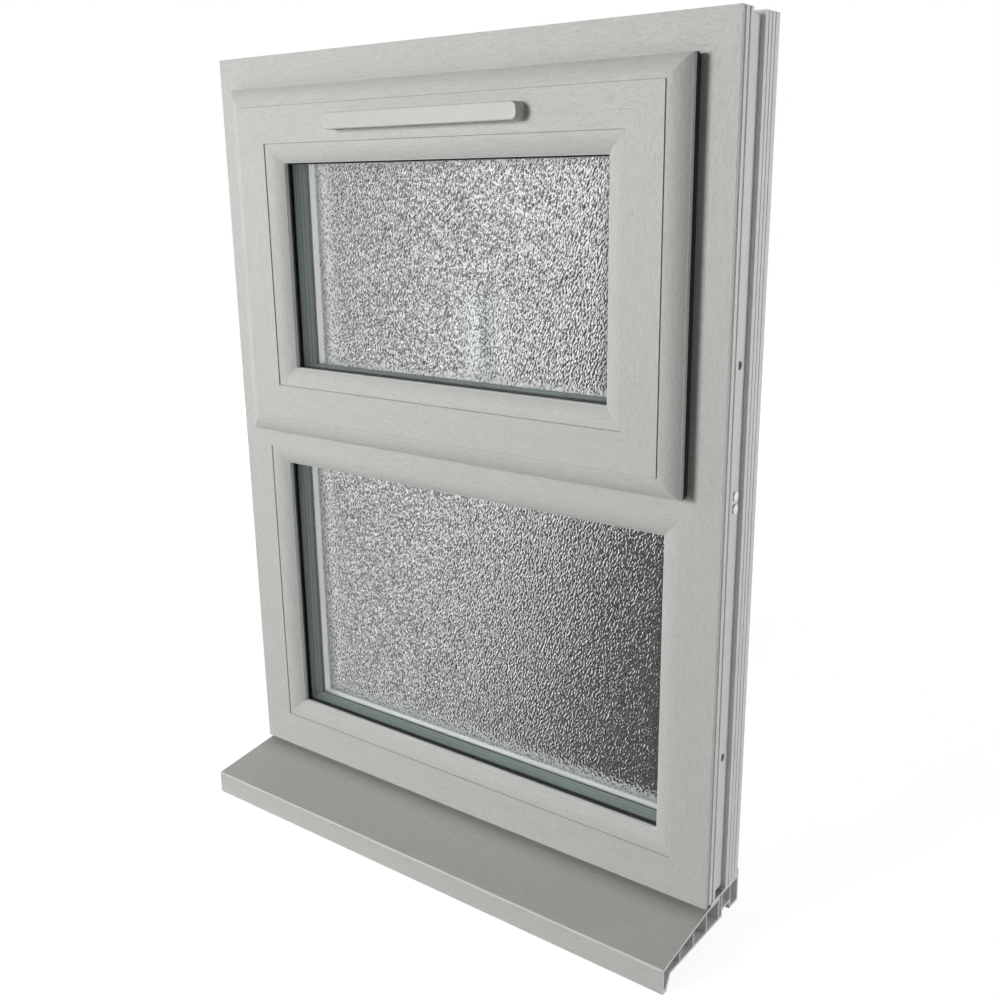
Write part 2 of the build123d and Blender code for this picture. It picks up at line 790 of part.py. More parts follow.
# Glazing of both lights: a sealed unit, held from outside by four mitred beads
glazed_lights = (
    ("fixed", fixed_light, leg_height, 0.0),
    ("sash", vent_light, sash_platform, sash_face),
)
for name, light, platform, face in glazed_lights:
    half, low, high = light
    edge = platform + edge_gap
    glass_front = face + glass_setback
    glass_back = glass_front + unit_depth
    cavity_front = glass_front + pane
    cavity_back = cavity_front + cavity
    gasket_front = glass_front - bead_gasket
    middle_z = (low + high) / 2
    glass_width = 2 * (half - edge)
    glass_height = high - low - 2 * edge

    for pane_name, front in (("outer_pane", glass_front), ("inner_pane", cavity_back)):
        with BuildPart() as glass_pane:
            with BuildSketch(Plane(origin=(0, front, middle_z), x_dir=(1, 0, 0), z_dir=(0, 1, 0))):
                Rectangle(glass_width, glass_height)
            extrude(amount=pane)
        finish(glass_pane.part, f"{name}_{pane_name}")

    with BuildPart() as edge_seal:
        with BuildSketch(mode=Mode.PRIVATE) as edge_seal_section:
            band(edge, edge + edge_seal_depth, cavity_front, cavity_back)
        add(mitred_ring(edge_seal_section.sketch, light))
    finish(edge_seal.part, f"{name}_edge_seal")

    with BuildPart() as spacer:
        with BuildSketch(mode=Mode.PRIVATE) as spacer_section:
            spacer_low = edge + edge_seal_depth
            box_tube(spacer_low, spacer_low + spacer_height, cavity_front, cavity_back, 0, spacer_wall)
        add(mitred_ring(spacer_section.sketch, light))
    finish(spacer.part, f"{name}_spacer")

    with BuildSketch(mode=Mode.PRIVATE) as bead_section:
        bead_start = (platform, face + quirk_step)
        bead_lip = (platform + bead_width, face + bead_drop)
        with BuildLine():
            TangentArc(bead_start, bead_lip, tangent=(1, 0))
            Polyline(
                bead_lip,
                (platform + bead_width, gasket_front),
                (platform, gasket_front),
                bead_start,
            )
        make_face()
        hollow_high = platform + bead_width - bead_toe
        hollow_front = face + bead_drop
        band(platform + bead_wall, hollow_high, hollow_front, gasket_front - bead_wall, mode=Mode.SUBTRACT)
        leg_front = face + clip_at + fit_gap
        band(platform - clip_depth + fit_gap, platform, leg_front, leg_front + clip_width - 2 * fit_gap)
    for side in SIDES:
        with BuildPart() as bead:
            add(mitred_bar(bead_section.sketch, light, side))
        finish(bead.part, f"{name}_bead_{side}")

    with BuildPart() as bead_gasket_ring:
        with BuildSketch(mode=Mode.PRIVATE) as bead_gasket_section:
            gasket_high = platform + bead_width - bead_gasket_inset
            band(gasket_high - bead_gasket_width, gasket_high, gasket_front, glass_front)
        add(mitred_ring(bead_gasket_section.sketch, light))
    finish(bead_gasket_ring.part, f"{name}_bead_gasket")

    with BuildPart() as glazing_gasket:
        with BuildSketch(mode=Mode.PRIVATE) as glazing_gasket_section:
            glass_play = rebate_depth - glass_setback - unit_depth
            groove_seal(platform - leg_height, face + rebate_depth, glass_play)
        add(mitred_ring(glazing_gasket_section.sketch, light))
    finish(glazing_gasket.part, f"{name}_glazing_gasket")

    with BuildPart() as packers:
        for turn in (-1, 1):
            place_x = turn * packer_place_share * glass_width
            for end in (low + platform + edge_gap / 2, high - platform - edge_gap / 2):
                with Locations((place_x, glass_front + unit_depth / 2, end)):
                    Box(packer_length, unit_depth, edge_gap)
            side_x = turn * (half - platform - edge_gap / 2)
            with Locations((side_x, glass_front + unit_depth / 2, middle_z)):
                Box(edge_gap, unit_depth, packer_length)
    finish(packers.part, f"{name}_packers")

# Friction stays, left and right
for side, turn in (("left", -1), ("right", 1)):
    track_plane = stay_plane(turn, leg_height, fixed_point, slide_point, -1)
    track_rise = arm_low - leg_height
    with BuildPart() as stay_track:
        with BuildSketch(track_plane):
            SlotOverall(stay_span + stay_width, stay_width)
            with Locations((stay_span / 2 - slide_length / 2, 0)):
                SlotCenterToCenter(slide_length + 2 * slide_gap, slideway_width, mode=Mode.SUBTRACT)
        extrude(amount=track_thickness)
        with BuildSketch(on_line(track_plane, -stay_span / 2)):
            Circle(pivot_radius)
        extrude(amount=track_rise - slide_gap)
        with BuildSketch(on_line(track_plane, -stay_span / 2)):
            Circle(stay_pin_radius)
        extrude(amount=track_rise + arm_thickness)
        cut_holes(track_screw_planes, hardware_screw, screw_gap)
    finish(stay_track.part, f"stay_track_{side}")

    arm_plane = stay_plane(turn, arm_low, fixed_point, vent_point, -1)
    with BuildPart() as stay_arm_bar:
        with BuildSketch(arm_plane):
            SlotOverall(stay_arm + stay_width, stay_width)
            with Locations((-stay_arm / 2, 0)):
                Circle(stay_pin_radius + fit_gap, mode=Mode.SUBTRACT)
        extrude(amount=arm_thickness)
        with BuildSketch(on_line(arm_plane, stay_arm / 2)):
            Circle(stay_pin_radius)
        extrude(amount=sash_side - arm_low - slide_gap)
    finish(stay_arm_bar.part, f"stay_arm_{side}")

    plate_plane = stay_plane(turn, sash_side, vent_point, slide_point, 1)
    with BuildPart() as stay_plate:
        with BuildSketch(plate_plane):
            SlotOverall(stay_arm + stay_width, stay_width)
            for end in (-stay_arm / 2, stay_arm / 2):
                with Locations((end, 0)):
                    Circle(stay_pin_radius + fit_gap, mode=Mode.SUBTRACT)
        extrude(amount=plate_thickness)
        cut_holes(plate_screw_planes, hardware_screw, screw_gap)
    finish(stay_plate.part, f"stay_plate_{side}")

    shoe_plane = on_line(stay_plane(turn, track_top, fixed_point, slide_point, -1), stay_span / 2)
    with BuildPart() as stay_shoe:
        with BuildSketch(shoe_plane.offset(slide_gap)):
            with Locations(((shoe_width - shoe_length) / 2, 0)):
                SlotOverall(shoe_length, shoe_width)
        extrude(amount=shoe_thickness)
        with BuildSketch(shoe_plane.offset(slide_gap)):
            Circle(slideway_width / 2 - slide_gap)
        extrude(amount=slide_gap - track_thickness)
        with BuildSketch(shoe_plane):
            Circle(stay_pin_radius)
        extrude(amount=sash_side - track_top - slide_gap)
    finish(stay_shoe.part, f"stay_shoe_{side}")

# Keeps on the transom, one for each locking cam
with BuildPart() as keeps:
    for place in cam_places:
        keep_x = place - rail_travel / 2
        with BuildSketch(Plane.XY.offset(keep_seat_z)):
            band(keep_x - keep_tail, keep_x + keep_length / 2, keep_front, groove_mid + half_groove)
        extrude(amount=keep_base)
        with BuildSketch(Plane.XY.offset(keep_seat_z)):
            band(keep_x - keep_length / 2, keep_x + keep_length / 2, keep_front, keep_front + keep_wall)
        extrude(amount=keep_height)
    cut_holes(keep_screw_planes, hardware_screw, screw_gap)
finish(keeps.part, "keeps")

with BuildPart() as frame_hardware_screws:
    for plane in track_screw_planes + keep_screw_planes:
        add(screw(plane, hardware_screw))
finish(frame_hardware_screws.part, "frame_hardware_screws")

# Locking gear: faceplate, gearbox, drive rail with its rack, sector gear and cams
with BuildPart() as espag_faceplate:
    with BuildSketch(Plane.XY.offset(faceplate_z)):
        with Locations((0, groove_mid)):
            SlotOverall(faceplate_length, groove_width - 2 * slide_gap)
        for place in cam_places:
            with Locations((place, groove_mid)):
                slot_width = 2 * (cam_pin_radius + slide_gap)
                SlotCenterToCenter(rail_travel, slot_width, mode=Mode.SUBTRACT)
    extrude(amount=faceplate_thickness)
    cut_holes(espag_screw_planes, hardware_screw, screw_gap)
finish(espag_faceplate.part, "espag_faceplate")

with BuildPart() as sash_hardware_screws:
    for plane in plate_screw_planes + espag_screw_planes:
        add(screw(plane, hardware_screw))
finish(sash_hardware_screws.part, "sash_hardware_screws")

rest_shift = rail_travel / 2
tooth_pitch = pi * gear_module
pressure_slope = tan(radians(pressure_angle))
tooth_half = tooth_pitch / 4 - tooth_backlash
tip_half = tooth_half - gear_addendum * pressure_slope
rack_line = vent_low + gear_depth - pitch_radius
rail_z = vent_low + rail_low
with BuildPart() as drive_rail:
    with BuildSketch(Plane.XY.offset(rail_z)):
        with Locations((rest_shift, groove_mid)):
            Rectangle(drive_rail_length, drive_rail_width)
    extrude(amount=drive_rail_thickness)
    with BuildSketch(facing_out(rest_shift, groove_mid - rack_depth / 2, 0)):
        rack_root = rack_line - gear_dedendum
        rack_half = rack_teeth * tooth_pitch / 2
        band(-rack_half, rack_half, rail_z + drive_rail_thickness, rack_root)
        root_half = tooth_half + gear_dedendum * pressure_slope
        for step in range(rack_teeth - 1):
            middle = (step + 1) * tooth_pitch - rack_half
            with BuildLine():
                Polyline(
                    (middle - root_half, rack_root),
                    (middle + root_half, rack_root),
                    (middle + tip_half, rack_line + gear_addendum),
                    (middle - tip_half, rack_line + gear_addendum),
                    close=True,
                )
            make_face()
    extrude(amount=-rack_depth)
finish(drive_rail.part, "drive_rail")


def tooth_point(radius, half_thickness, middle):
    angle = middle + half_thickness / radius
    return (radius * sin(angle), -radius * cos(angle))


gear_plane = facing_out(0, groove_mid - rack_depth / 2, gear_z)
sector_angle = 360 / pinion_teeth
with BuildPart() as drive_gear:
    with BuildSketch(gear_plane):
        root_radius = pitch_radius - gear_dedendum
        tip_radius = pitch_radius + gear_addendum
        space_half = pi * root_radius / pinion_teeth
        for step in range(sector_teeth):
            middle = radians((step - (sector_teeth - 1) / 2) * sector_angle + handle_turn / 2)
            with BuildLine():
                Polyline(
                    (0, 0),
                    tooth_point(root_radius, -space_half, middle),
                    tooth_point(root_radius, -tooth_half, middle),
                    tooth_point(pitch_radius, -tooth_half, middle),
                    tooth_point(tip_radius, -tip_half, middle),
                    tooth_point(tip_radius, tip_half, middle),
                    tooth_point(pitch_radius, tooth_half, middle),
                    tooth_point(root_radius, tooth_half, middle),
                    tooth_point(root_radius, space_half, middle),
                    close=True,
                )
            make_face()
    extrude(amount=-rack_depth)
    hub_reach = channel_width / 2 - gearbox_gap
    with BuildSketch(facing_out(0, groove_mid - hub_reach, gear_z)):
        Circle(gear_hub_radius)
    extrude(amount=-2 * hub_reach)
    with BuildSketch(facing_out(0, groove_mid - hub_reach, gear_z)):
        Rectangle(spindle_side + 2 * spindle_gap, spindle_side + 2 * spindle_gap)
    extrude(amount=-2 * hub_reach, mode=Mode.SUBTRACT)
finish(drive_gear.part, "drive_gear")

case_floor = faceplate_z + faceplate_thickness
case_top = vent_low + sash_platform - wall - gearbox_gap
with BuildPart() as espag_gearbox:
    with BuildSketch(facing_out(0, groove_mid - hub_reach, 0)):
        band(-gearbox_length / 2, gearbox_length / 2, case_floor, case_top)
    extrude(amount=-2 * hub_reach)
    inner_half = hub_reach - gearbox_wall
    with BuildSketch(facing_out(0, groove_mid - inner_half, 0)):
        band(-gearbox_length, gearbox_length, case_floor, rack_line + 2 * gear_addendum)
        end_wall = gearbox_length / 2 - gearbox_wall
        band(-end_wall, end_wall, case_floor, case_top - gearbox_wall)
    extrude(amount=-2 * inner_half, mode=Mode.SUBTRACT)
    with BuildSketch(facing_out(0, groove_mid - hub_reach, gear_z)):
        Circle(gear_hub_radius + gear_hub_gap)
    extrude(amount=-2 * hub_reach, mode=Mode.SUBTRACT)
finish(espag_gearbox.part, "espag_gearbox")

with BuildPart() as locking_cams:
    for place in cam_places:
        with BuildSketch(Plane(origin=(place + rest_shift, groove_mid, rail_z), z_dir=(0, 0, -1))):
            Circle(cam_pin_radius)
        extrude(amount=rail_low - sash_side + cam_reach - cam_head_height)
        head_z = vent_low + sash_side - cam_reach
        with BuildSketch(Plane(origin=(place + rest_shift, groove_mid, head_z))):
            Circle(cam_head_radius)
        extrude(amount=cam_head_height)
finish(locking_cams.part, "locking_cams")

# Handle: base on the sash, lever with its spindle, and a push button
handle_axis = Plane(origin=(0, sash_rear, gear_z), x_dir=(1, 0, 0), z_dir=(0, 1, 0))
with BuildPart() as handle_base:
    with BuildSketch(handle_axis):
        RectangleRounded(base_length, base_height, base_round)
    extrude(amount=base_depth)
    with BuildSketch(handle_axis.offset(base_depth)):
        Circle(collar_radius)
    extrude(amount=collar_depth)
    with BuildSketch(handle_axis):
        Circle(spindle_hole_radius)
    extrude(amount=base_depth + collar_depth, mode=Mode.SUBTRACT)
    cut_holes(handle_screw_planes, handle_screw_sizes, screw_gap)
finish(handle_base.part, "handle_base")

with BuildPart() as handle_screws:
    for plane in handle_screw_planes:
        add(screw(plane, handle_screw_sizes))
finish(handle_screws.part, "handle_screws")

lever_start = base_depth + collar_depth + lever_gap
lever_end = lever_start + lever_hub_depth
with BuildPart() as handle_lever:
    with BuildSketch(handle_axis.offset(lever_end - lever_depth)):
        with Locations((0, -lever_length / 2)):
            RectangleRounded(lever_width, lever_length + lever_width, lever_width / 2 - fit_gap)
    extrude(amount=lever_depth)
    fillet(edges().filter_by(Axis.Y, reverse=True), lever_round)
    with BuildSketch(handle_axis.offset(lever_start)):
        Circle(lever_hub_radius)
    extrude(amount=lever_hub_depth)
    with BuildSketch(handle_axis.offset(lever_start)):
        Rectangle(spindle_side + 2 * spindle_gap, spindle_side + 2 * spindle_gap)
    extrude(amount=socket_depth, mode=Mode.SUBTRACT)
    button_low = lever_end + button_proud - button_depth
    with BuildSketch(handle_axis.offset(button_low - button_travel - button_gap)):
        Circle(button_radius + button_gap)
    extrude(amount=button_depth + button_travel, mode=Mode.SUBTRACT)
finish(handle_lever.part, "handle_lever")

with BuildPart() as handle_button:
    with BuildSketch(handle_axis.offset(button_low)):
        Circle(button_radius)
    extrude(amount=button_depth)
finish(handle_button.part, "handle_button")

with BuildPart() as handle_spindle:
    spindle_start = groove_mid - spindle_inner - sash_rear
    with BuildSketch(handle_axis.offset(spindle_start)):
        Rectangle(spindle_side, spindle_side)
    extrude(amount=lever_start + socket_depth - spindle_gap - spindle_start)
finish(handle_spindle.part, "handle_spindle")

# Trickle vent: canopy outside, body with a sliding shutter inside
canopy_plane = Plane(origin=(0, sash_face, vent_z), x_dir=(1, 0, 0), z_dir=(0, -1, 0))
with BuildPart() as vent_canopy:
    with BuildSketch(canopy_plane):
        RectangleRounded(canopy_length, canopy_height, canopy_round)
    extrude(amount=canopy_depth)
    front_edges = edges().group_by(Axis.Y)[0]
    fillet(front_edges, canopy_edge)
    with BuildSketch(canopy_plane):
        inner_round = canopy_round - canopy_wall
        RectangleRounded(canopy_length - 2 * canopy_wall, canopy_height - 2 * canopy_wall, inner_round)
    extrude(amount=canopy_depth - canopy_wall, mode=Mode.SUBTRACT)
    slot_pitch = (canopy_length - 2 * canopy_round) / canopy_slots
    slot_front = sash_face - (canopy_depth + canopy_slot_depth) / 2
    for step in range(canopy_slots):
        slot_x = (step - (canopy_slots - 1) / 2) * slot_pitch
        low = (slot_x - canopy_slot_length / 2, slot_front, vent_z - canopy_height)
        slot_back = slot_front + canopy_slot_depth
        high = (slot_x + canopy_slot_length / 2, slot_back, vent_z - canopy_height / 4)
        cut_box(low, high)
finish(vent_canopy.part, "vent_canopy")

vent_plane = Plane(origin=(0, sash_rear, vent_body_z), x_dir=(1, 0, 0), z_dir=(0, 1, 0))
guide_low = shutter_height / 2 + slide_gap
guide_rise = shutter_thickness + 2 * slide_gap
with BuildPart() as vent_body:
    with BuildSketch(vent_plane):
        Rectangle(vent_body_length, vent_body_height)
    extrude(amount=vent_body_depth)
    inner_length = vent_body_length * 2 * vent_screw_share - 2 * vent_body_depth
    with BuildSketch(vent_plane):
        Rectangle(inner_length, vent_body_height - 2 * vent_wall)
    extrude(amount=vent_body_depth - vent_wall, mode=Mode.SUBTRACT)
    with BuildSketch(vent_plane):
        with GridLocations(vent_slot_pitch, 0, vent_slots, 1):
            Rectangle(vent_slot_length, vent_slot_height)
    extrude(amount=vent_body_depth, mode=Mode.SUBTRACT)
    guide_length = shutter_length + 2 * shutter_travel
    with BuildSketch(vent_plane.offset(vent_body_depth)):
        for turn in (-1, 1):
            with Locations((0, turn * (guide_low + guide_height / 2))):
                Rectangle(guide_length, guide_height)
    extrude(amount=guide_rise + guide_lip)
    with BuildSketch(vent_plane.offset(vent_body_depth + guide_rise)):
        for turn in (-1, 1):
            with Locations((0, turn * (guide_low + guide_height / 2 - guide_hook / 2))):
                Rectangle(guide_length, guide_height + guide_hook)
    extrude(amount=guide_lip)
    cut_holes(vent_screw_planes, hardware_screw, screw_gap)
finish(vent_body.part, "vent_body")

with BuildPart() as vent_shutter:
    with BuildSketch(vent_plane.offset(vent_body_depth + slide_gap)):
        Rectangle(shutter_length, shutter_height)
        with GridLocations(vent_slot_pitch, 0, vent_slots, 1):
            Rectangle(vent_slot_length, vent_slot_height, mode=Mode.SUBTRACT)
    extrude(amount=shutter_thickness)
    with BuildSketch(vent_plane.offset(vent_body_depth + slide_gap)):
        with Locations((-vent_slot_pitch / 2, 0)):
            Rectangle(shutter_knob, vent_slot_height)
    extrude(amount=shutter_thickness + shutter_knob)
finish(vent_shutter.part, "vent_shutter")

with BuildPart() as vent_screws:
    for plane in vent_screw_planes:
        add(screw(plane, hardware_screw))
finish(vent_screws.part, "vent_screws")
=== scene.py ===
import math

import bmesh
import bpy
from mathutils import Matrix, Vector, noise


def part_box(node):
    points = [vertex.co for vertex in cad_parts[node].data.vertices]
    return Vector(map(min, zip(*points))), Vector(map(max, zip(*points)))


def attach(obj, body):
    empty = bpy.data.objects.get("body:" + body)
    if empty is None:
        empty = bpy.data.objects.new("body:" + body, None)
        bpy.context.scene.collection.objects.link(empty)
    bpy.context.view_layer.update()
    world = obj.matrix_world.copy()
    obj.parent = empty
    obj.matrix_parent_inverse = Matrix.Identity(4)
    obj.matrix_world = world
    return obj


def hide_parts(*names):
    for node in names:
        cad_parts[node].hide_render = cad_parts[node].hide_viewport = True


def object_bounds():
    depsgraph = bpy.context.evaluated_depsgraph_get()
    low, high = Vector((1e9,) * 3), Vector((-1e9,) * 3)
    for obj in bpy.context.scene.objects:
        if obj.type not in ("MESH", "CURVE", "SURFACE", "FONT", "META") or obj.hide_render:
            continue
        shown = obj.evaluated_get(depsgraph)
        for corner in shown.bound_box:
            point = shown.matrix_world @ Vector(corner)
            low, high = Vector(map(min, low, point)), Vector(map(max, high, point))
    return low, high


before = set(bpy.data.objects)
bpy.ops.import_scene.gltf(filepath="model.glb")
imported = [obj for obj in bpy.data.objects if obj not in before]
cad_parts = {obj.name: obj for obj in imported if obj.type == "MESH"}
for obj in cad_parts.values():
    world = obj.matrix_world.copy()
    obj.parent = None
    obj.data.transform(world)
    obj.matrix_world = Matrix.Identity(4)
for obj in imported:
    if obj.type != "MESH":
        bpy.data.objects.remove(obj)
cad_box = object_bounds()

MM = 0.001
PER_METRE = 1000.0

# Colours, as linear values
FOIL_DARK = (0.508, 0.516, 0.488, 1)
FOIL_PALE = (0.610, 0.618, 0.590, 1)
CANOPY_DARK = (0.555, 0.563, 0.537, 1)
CANOPY_PALE = (0.590, 0.598, 0.572, 1)
PLASTIC_DARK = (0.800, 0.805, 0.810, 1)
PLASTIC_PALE = (0.850, 0.853, 0.855, 1)
# Bare plastic of the cill's cut ends, paler than elsewhere as painted light in its shaded chambers
CORE_DARK = (0.860, 0.860, 0.862, 1)
CORE_PALE = (0.910, 0.910, 0.910, 1)
# Dark of the corner weld lines, also used as painted shade in creases and on the cill's top
JOINT_AND_SHADE_DARK = (0.290, 0.302, 0.278, 1)
# Painted shade along the edges of the glass pattern
RIM_SHADE = (0.03, 0.03, 0.03, 1)
# Black of the seal line and painted shadow on the sash's outer edge
SEAL_AND_SHADOW_DARK = (0.02, 0.02, 0.02, 1)
# Painted highlight along the cill nose's edge
ARRIS_HIGHLIGHT = (0.74, 0.745, 0.73, 1)
BUTYL = (0.02, 0.024, 0.023, 1)
BAR_DARK = (0.172, 0.222, 0.205, 1)
BAR_PALE = (0.208, 0.260, 0.242, 1)
BAR_LINE = (0.104, 0.137, 0.125, 1)
WHITE = (1, 1, 1, 1)

# Gloss and relief of the foil, relief in millimetres
FOIL_SHEEN = 0.25
FOIL_ROUGH = (0.56, 0.44)
CILL_ROUGH = (0.54, 0.42)
BARE_ROUGH = 0.4
CUT_ROUGH = 0.5
FOIL_RELIEF = 0.30
CILL_RELIEF = 0.34
GRAIN_STRETCH = 0.09

# Places on the window, in millimetres
FRAME_HALF = 313.5
FRAME_LOW = 29.3
FRAME_TOP = 848.3
FRAME_FOIL_WRAP = 4.4
SASH_HALF = 280.2
SASH_LOW = 442.15
SASH_TOP = 815.0
SASH_FOIL_WRAP = -5.5
# Depth on the sash's outer edge: painted highlight in front of it, black behind for the seal line
# and painted shadow
SASH_PAINTED_EDGE_SPLIT = -10.0
FIXED_BEAD_LIP = (251.9, 90.9, 399.15)
SASH_BEAD_LIP = (203.0, 519.35, 737.8)
# Insets of the sash's and beads' creases, which are painted as shade
SASH_CREASE_SHADES = ((19.45, 20.05), (57.2, 57.5))
BEAD_CREASE_SHADES = ((-20.0, -19.45),)
CREASE_SHADE_DEPTH = 0.85
CILL_FRONT = -83.0
CILL_FRONT_TOP = 11.7
CILL_FALL = 0.15393
CILL_SKIN = 1.2
CILL_END = 313.4
# Painted shade over the cill's top, deepening towards the frame, and the width of the painted
# highlight on the nose
CILL_SHADE_START = -24.0
CILL_TOP_SHADE = (0.2, 0.7)
NOSE_HIGHLIGHT_WIDTH = 1.4
WELD_HALF = 0.35
SPACER_BAR = 8.0
SPACER_LINE_PITCH = 5.0
BUTYL_FRONT = (1.3, 1.7)
BUTYL_BACK = (18.0, 18.4)
FIXED_SPACER_FRONT = 21.0
SASH_SPACER_FRONT = -3.7
BLOB_LEAN = math.radians(68)
STIPPLE_WIDTH = 2.1
STIPPLE_LENGTH = 4.0
STIPPLE_DEPTH = 1.5


def feed(tree, socket, value):
    """Link a socket to an output, or set its plain value."""
    if isinstance(value, bpy.types.NodeSocket):
        tree.links.new(value, socket)
    else:
        socket.default_value = value


def add(tree, kind, settings, values):
    """Add a node with its settings and inputs."""
    made = tree.nodes.new(kind)
    for name, value in settings.items():
        setattr(made, name, value)
    for name, value in values.items():
        feed(tree, made.inputs[name], value)
    return made


def maths(tree, operation, *values):
    made = tree.nodes.new("ShaderNodeMath")
    made.operation = operation
    for socket, value in zip(made.inputs, values):
        feed(tree, socket, value)
    return made.outputs[0]


def weighted(tree, first, share, second, rest):
    """Two values added by their shares."""
    return maths(
        tree, "ADD", maths(tree, "MULTIPLY", first, share), maths(tree, "MULTIPLY", second, rest)
    )


def mix_colour(tree, factor, first, second):
    made = tree.nodes.new("ShaderNodeMix")
    made.data_type = "RGBA"
    feed(tree, made.inputs[0], factor)
    feed(tree, made.inputs[6], first)
    feed(tree, made.inputs[7], second)
    return made.outputs[2]


def mix_value(tree, factor, first, second):
    made = tree.nodes.new("ShaderNodeMix")
    feed(tree, made.inputs[0], factor)
    feed(tree, made.inputs[2], first)
    feed(tree, made.inputs[3], second)
    return made.outputs[0]


def mix_vector(tree, factor, first, second):
    made = tree.nodes.new("ShaderNodeMix")
    made.data_type = "VECTOR"
    feed(tree, made.inputs[0], factor)
    feed(tree, made.inputs[4], first)
    feed(tree, made.inputs[5], second)
    return made.outputs[1]


def spread(tree, value, start, end, low=0.0, high=1.0, ease="SMOOTHSTEP"):
    """Bring a value that goes from start to end to one that goes from low to high."""
    made = tree.nodes.new("ShaderNodeMapRange")
    made.interpolation_type = ease
    for name, given in (
        ("Value", value),
        ("From Min", start),
        ("From Max", end),
        ("To Min", low),
        ("To Max", high),
    ):
        feed(tree, made.inputs[name], given)
    return made.outputs[0]


def scaled(tree, vector, scale):
    made = tree.nodes.new("ShaderNodeVectorMath")
    made.operation = "MULTIPLY"
    feed(tree, made.inputs[0], vector)
    feed(tree, made.inputs[1], scale)
    return made.outputs[0]


def cloud(tree, vector, scale, detail, rough=0.55):
    """Smooth noise from 0 to 1."""
    values = {"Vector": vector, "Scale": scale, "Detail": detail, "Roughness": rough}
    return add(tree, "ShaderNodeTexNoise", {}, values).outputs[0]


def place_mm(tree):
    """The place on the window, in millimetres."""
    coords = tree.nodes.new("ShaderNodeTexCoord").outputs["Object"]
    return scaled(tree, coords, (PER_METRE, PER_METRE, PER_METRE))


def parts(tree, vector):
    split = tree.nodes.new("ShaderNodeSeparateXYZ")
    feed(tree, split.inputs[0], vector)
    return split.outputs


def open_group(name, inputs, outputs):
    """Start a node group with its sockets."""
    tree = bpy.data.node_groups.new(name, "ShaderNodeTree")
    for socket, kind in inputs:
        tree.interface.new_socket(name=socket, in_out="INPUT", socket_type=kind)
    for socket in outputs:
        tree.interface.new_socket(name=socket, in_out="OUTPUT", socket_type="NodeSocketFloat")
    given = tree.nodes.new("NodeGroupInput").outputs
    wanted = tree.nodes.new("NodeGroupOutput").inputs
    return tree, given, wanted


def use_group(tree, group, values):
    made = tree.nodes.new("ShaderNodeGroup")
    made.node_tree = group
    for name, value in values.items():
        feed(tree, made.inputs[name], value)
    return made.outputs


VECTOR = "NodeSocketVector"
FLOAT = "NodeSocketFloat"


def make_foil_grain():
    """Embossed woodgrain: long streaks and short pores along the profile."""
    tree, given, wanted = open_group(
        "foil_grain", [("Place", VECTOR), ("Upright", FLOAT)], ["Height", "Tone"]
    )
    lean = scaled(tree, given["Place"], (0.012, 0.012, 0.012))
    sway = add(tree, "ShaderNodeTexNoise", {}, {"Vector": lean, "Scale": 1.0, "Detail": 1.0})
    shift = scaled(tree, sway.outputs["Color"], (5.0, 5.0, 5.0))
    moved = add(tree, "ShaderNodeVectorMath", {"operation": "ADD"}, {0: given["Place"], 1: shift})
    along_x = (GRAIN_STRETCH, 1.0, 1.0)
    along_z = (1.0, 1.0, GRAIN_STRETCH)
    stretch = mix_vector(tree, given["Upright"], along_x, along_z)
    laid = scaled(tree, moved.outputs[0], stretch)
    streaks = cloud(tree, laid, 0.55, 3.0, 0.6)
    fibres = cloud(tree, laid, 1.25, 2.0, 0.5)
    short = scaled(tree, laid, mix_vector(tree, given["Upright"], (3.2, 1, 1), (1, 1, 3.2)))
    pores = spread(tree, cloud(tree, short, 0.95, 1.0), 0.57, 0.70)
    ridges = weighted(tree, streaks, 0.4, fibres, 0.6)
    height = maths(tree, "SUBTRACT", ridges, maths(tree, "MULTIPLY", pores, 0.28))
    feed(tree, wanted["Height"], height)
    feed(tree, wanted["Tone"], spread(tree, height, 0.22, 0.66, ease="LINEAR"))
    return tree


def make_moulded_skin():
    """Extruded or moulded plastic: a fine stipple with faint broad shades."""
    tree, given, wanted = open_group(
        "moulded_skin", [("Place", VECTOR), ("Size", FLOAT)], ["Height", "Tone"]
    )
    fine = maths(tree, "DIVIDE", 1.0, given["Size"])
    stipple = cloud(tree, given["Place"], fine, 2.0)
    broad = cloud(tree, given["Place"], 0.02, 3.0)
    feed(tree, wanted["Height"], stipple)
    both = weighted(tree, stipple, 0.35, broad, 0.65)
    feed(tree, wanted["Tone"], spread(tree, both, 0.32, 0.68, ease="LINEAR"))
    return tree


def make_corner_welds():
    """For a ring of profile: which way it runs, its corner lines, and how far in a place is."""
    tree, given, wanted = open_group(
        "corner_welds",
        [("Place", VECTOR), ("Half Width", FLOAT), ("Low", FLOAT), ("Top", FLOAT)],
        ["Upright", "Line", "Inset"],
    )
    x, y, z = parts(tree, given["Place"])
    side = maths(tree, "SUBTRACT", given["Half Width"], maths(tree, "ABSOLUTE", x))
    from_low = maths(tree, "SUBTRACT", z, given["Low"])
    from_top = maths(tree, "SUBTRACT", given["Top"], z)
    end = maths(tree, "MINIMUM", from_low, from_top)
    feed(tree, wanted["Inset"], maths(tree, "MINIMUM", side, end))
    gap = maths(tree, "SUBTRACT", end, side)
    feed(tree, wanted["Upright"], maths(tree, "GREATER_THAN", gap, 0.0))
    near = maths(tree, "ABSOLUTE", gap)
    feed(tree, wanted["Line"], spread(tree, near, WELD_HALF, 2 * WELD_HALF, 1.0, 0.0))
    return tree


def make_drawn_metal():
    """Rolled or brushed metal: hair lines along one way, with soft patches."""
    tree, given, wanted = open_group(
        "drawn_metal", [("Place", VECTOR), ("Stretch", VECTOR)], ["Height", "Tone"]
    )
    laid = scaled(tree, given["Place"], given["Stretch"])
    hair = cloud(tree, laid, 2.2, 3.0, 0.6)
    patch = cloud(tree, given["Place"], 0.12, 3.0)
    feed(tree, wanted["Height"], hair)
    both = weighted(tree, hair, 0.6, patch, 0.4)
    feed(tree, wanted["Tone"], spread(tree, both, 0.3, 0.7, ease="LINEAR"))
    return tree


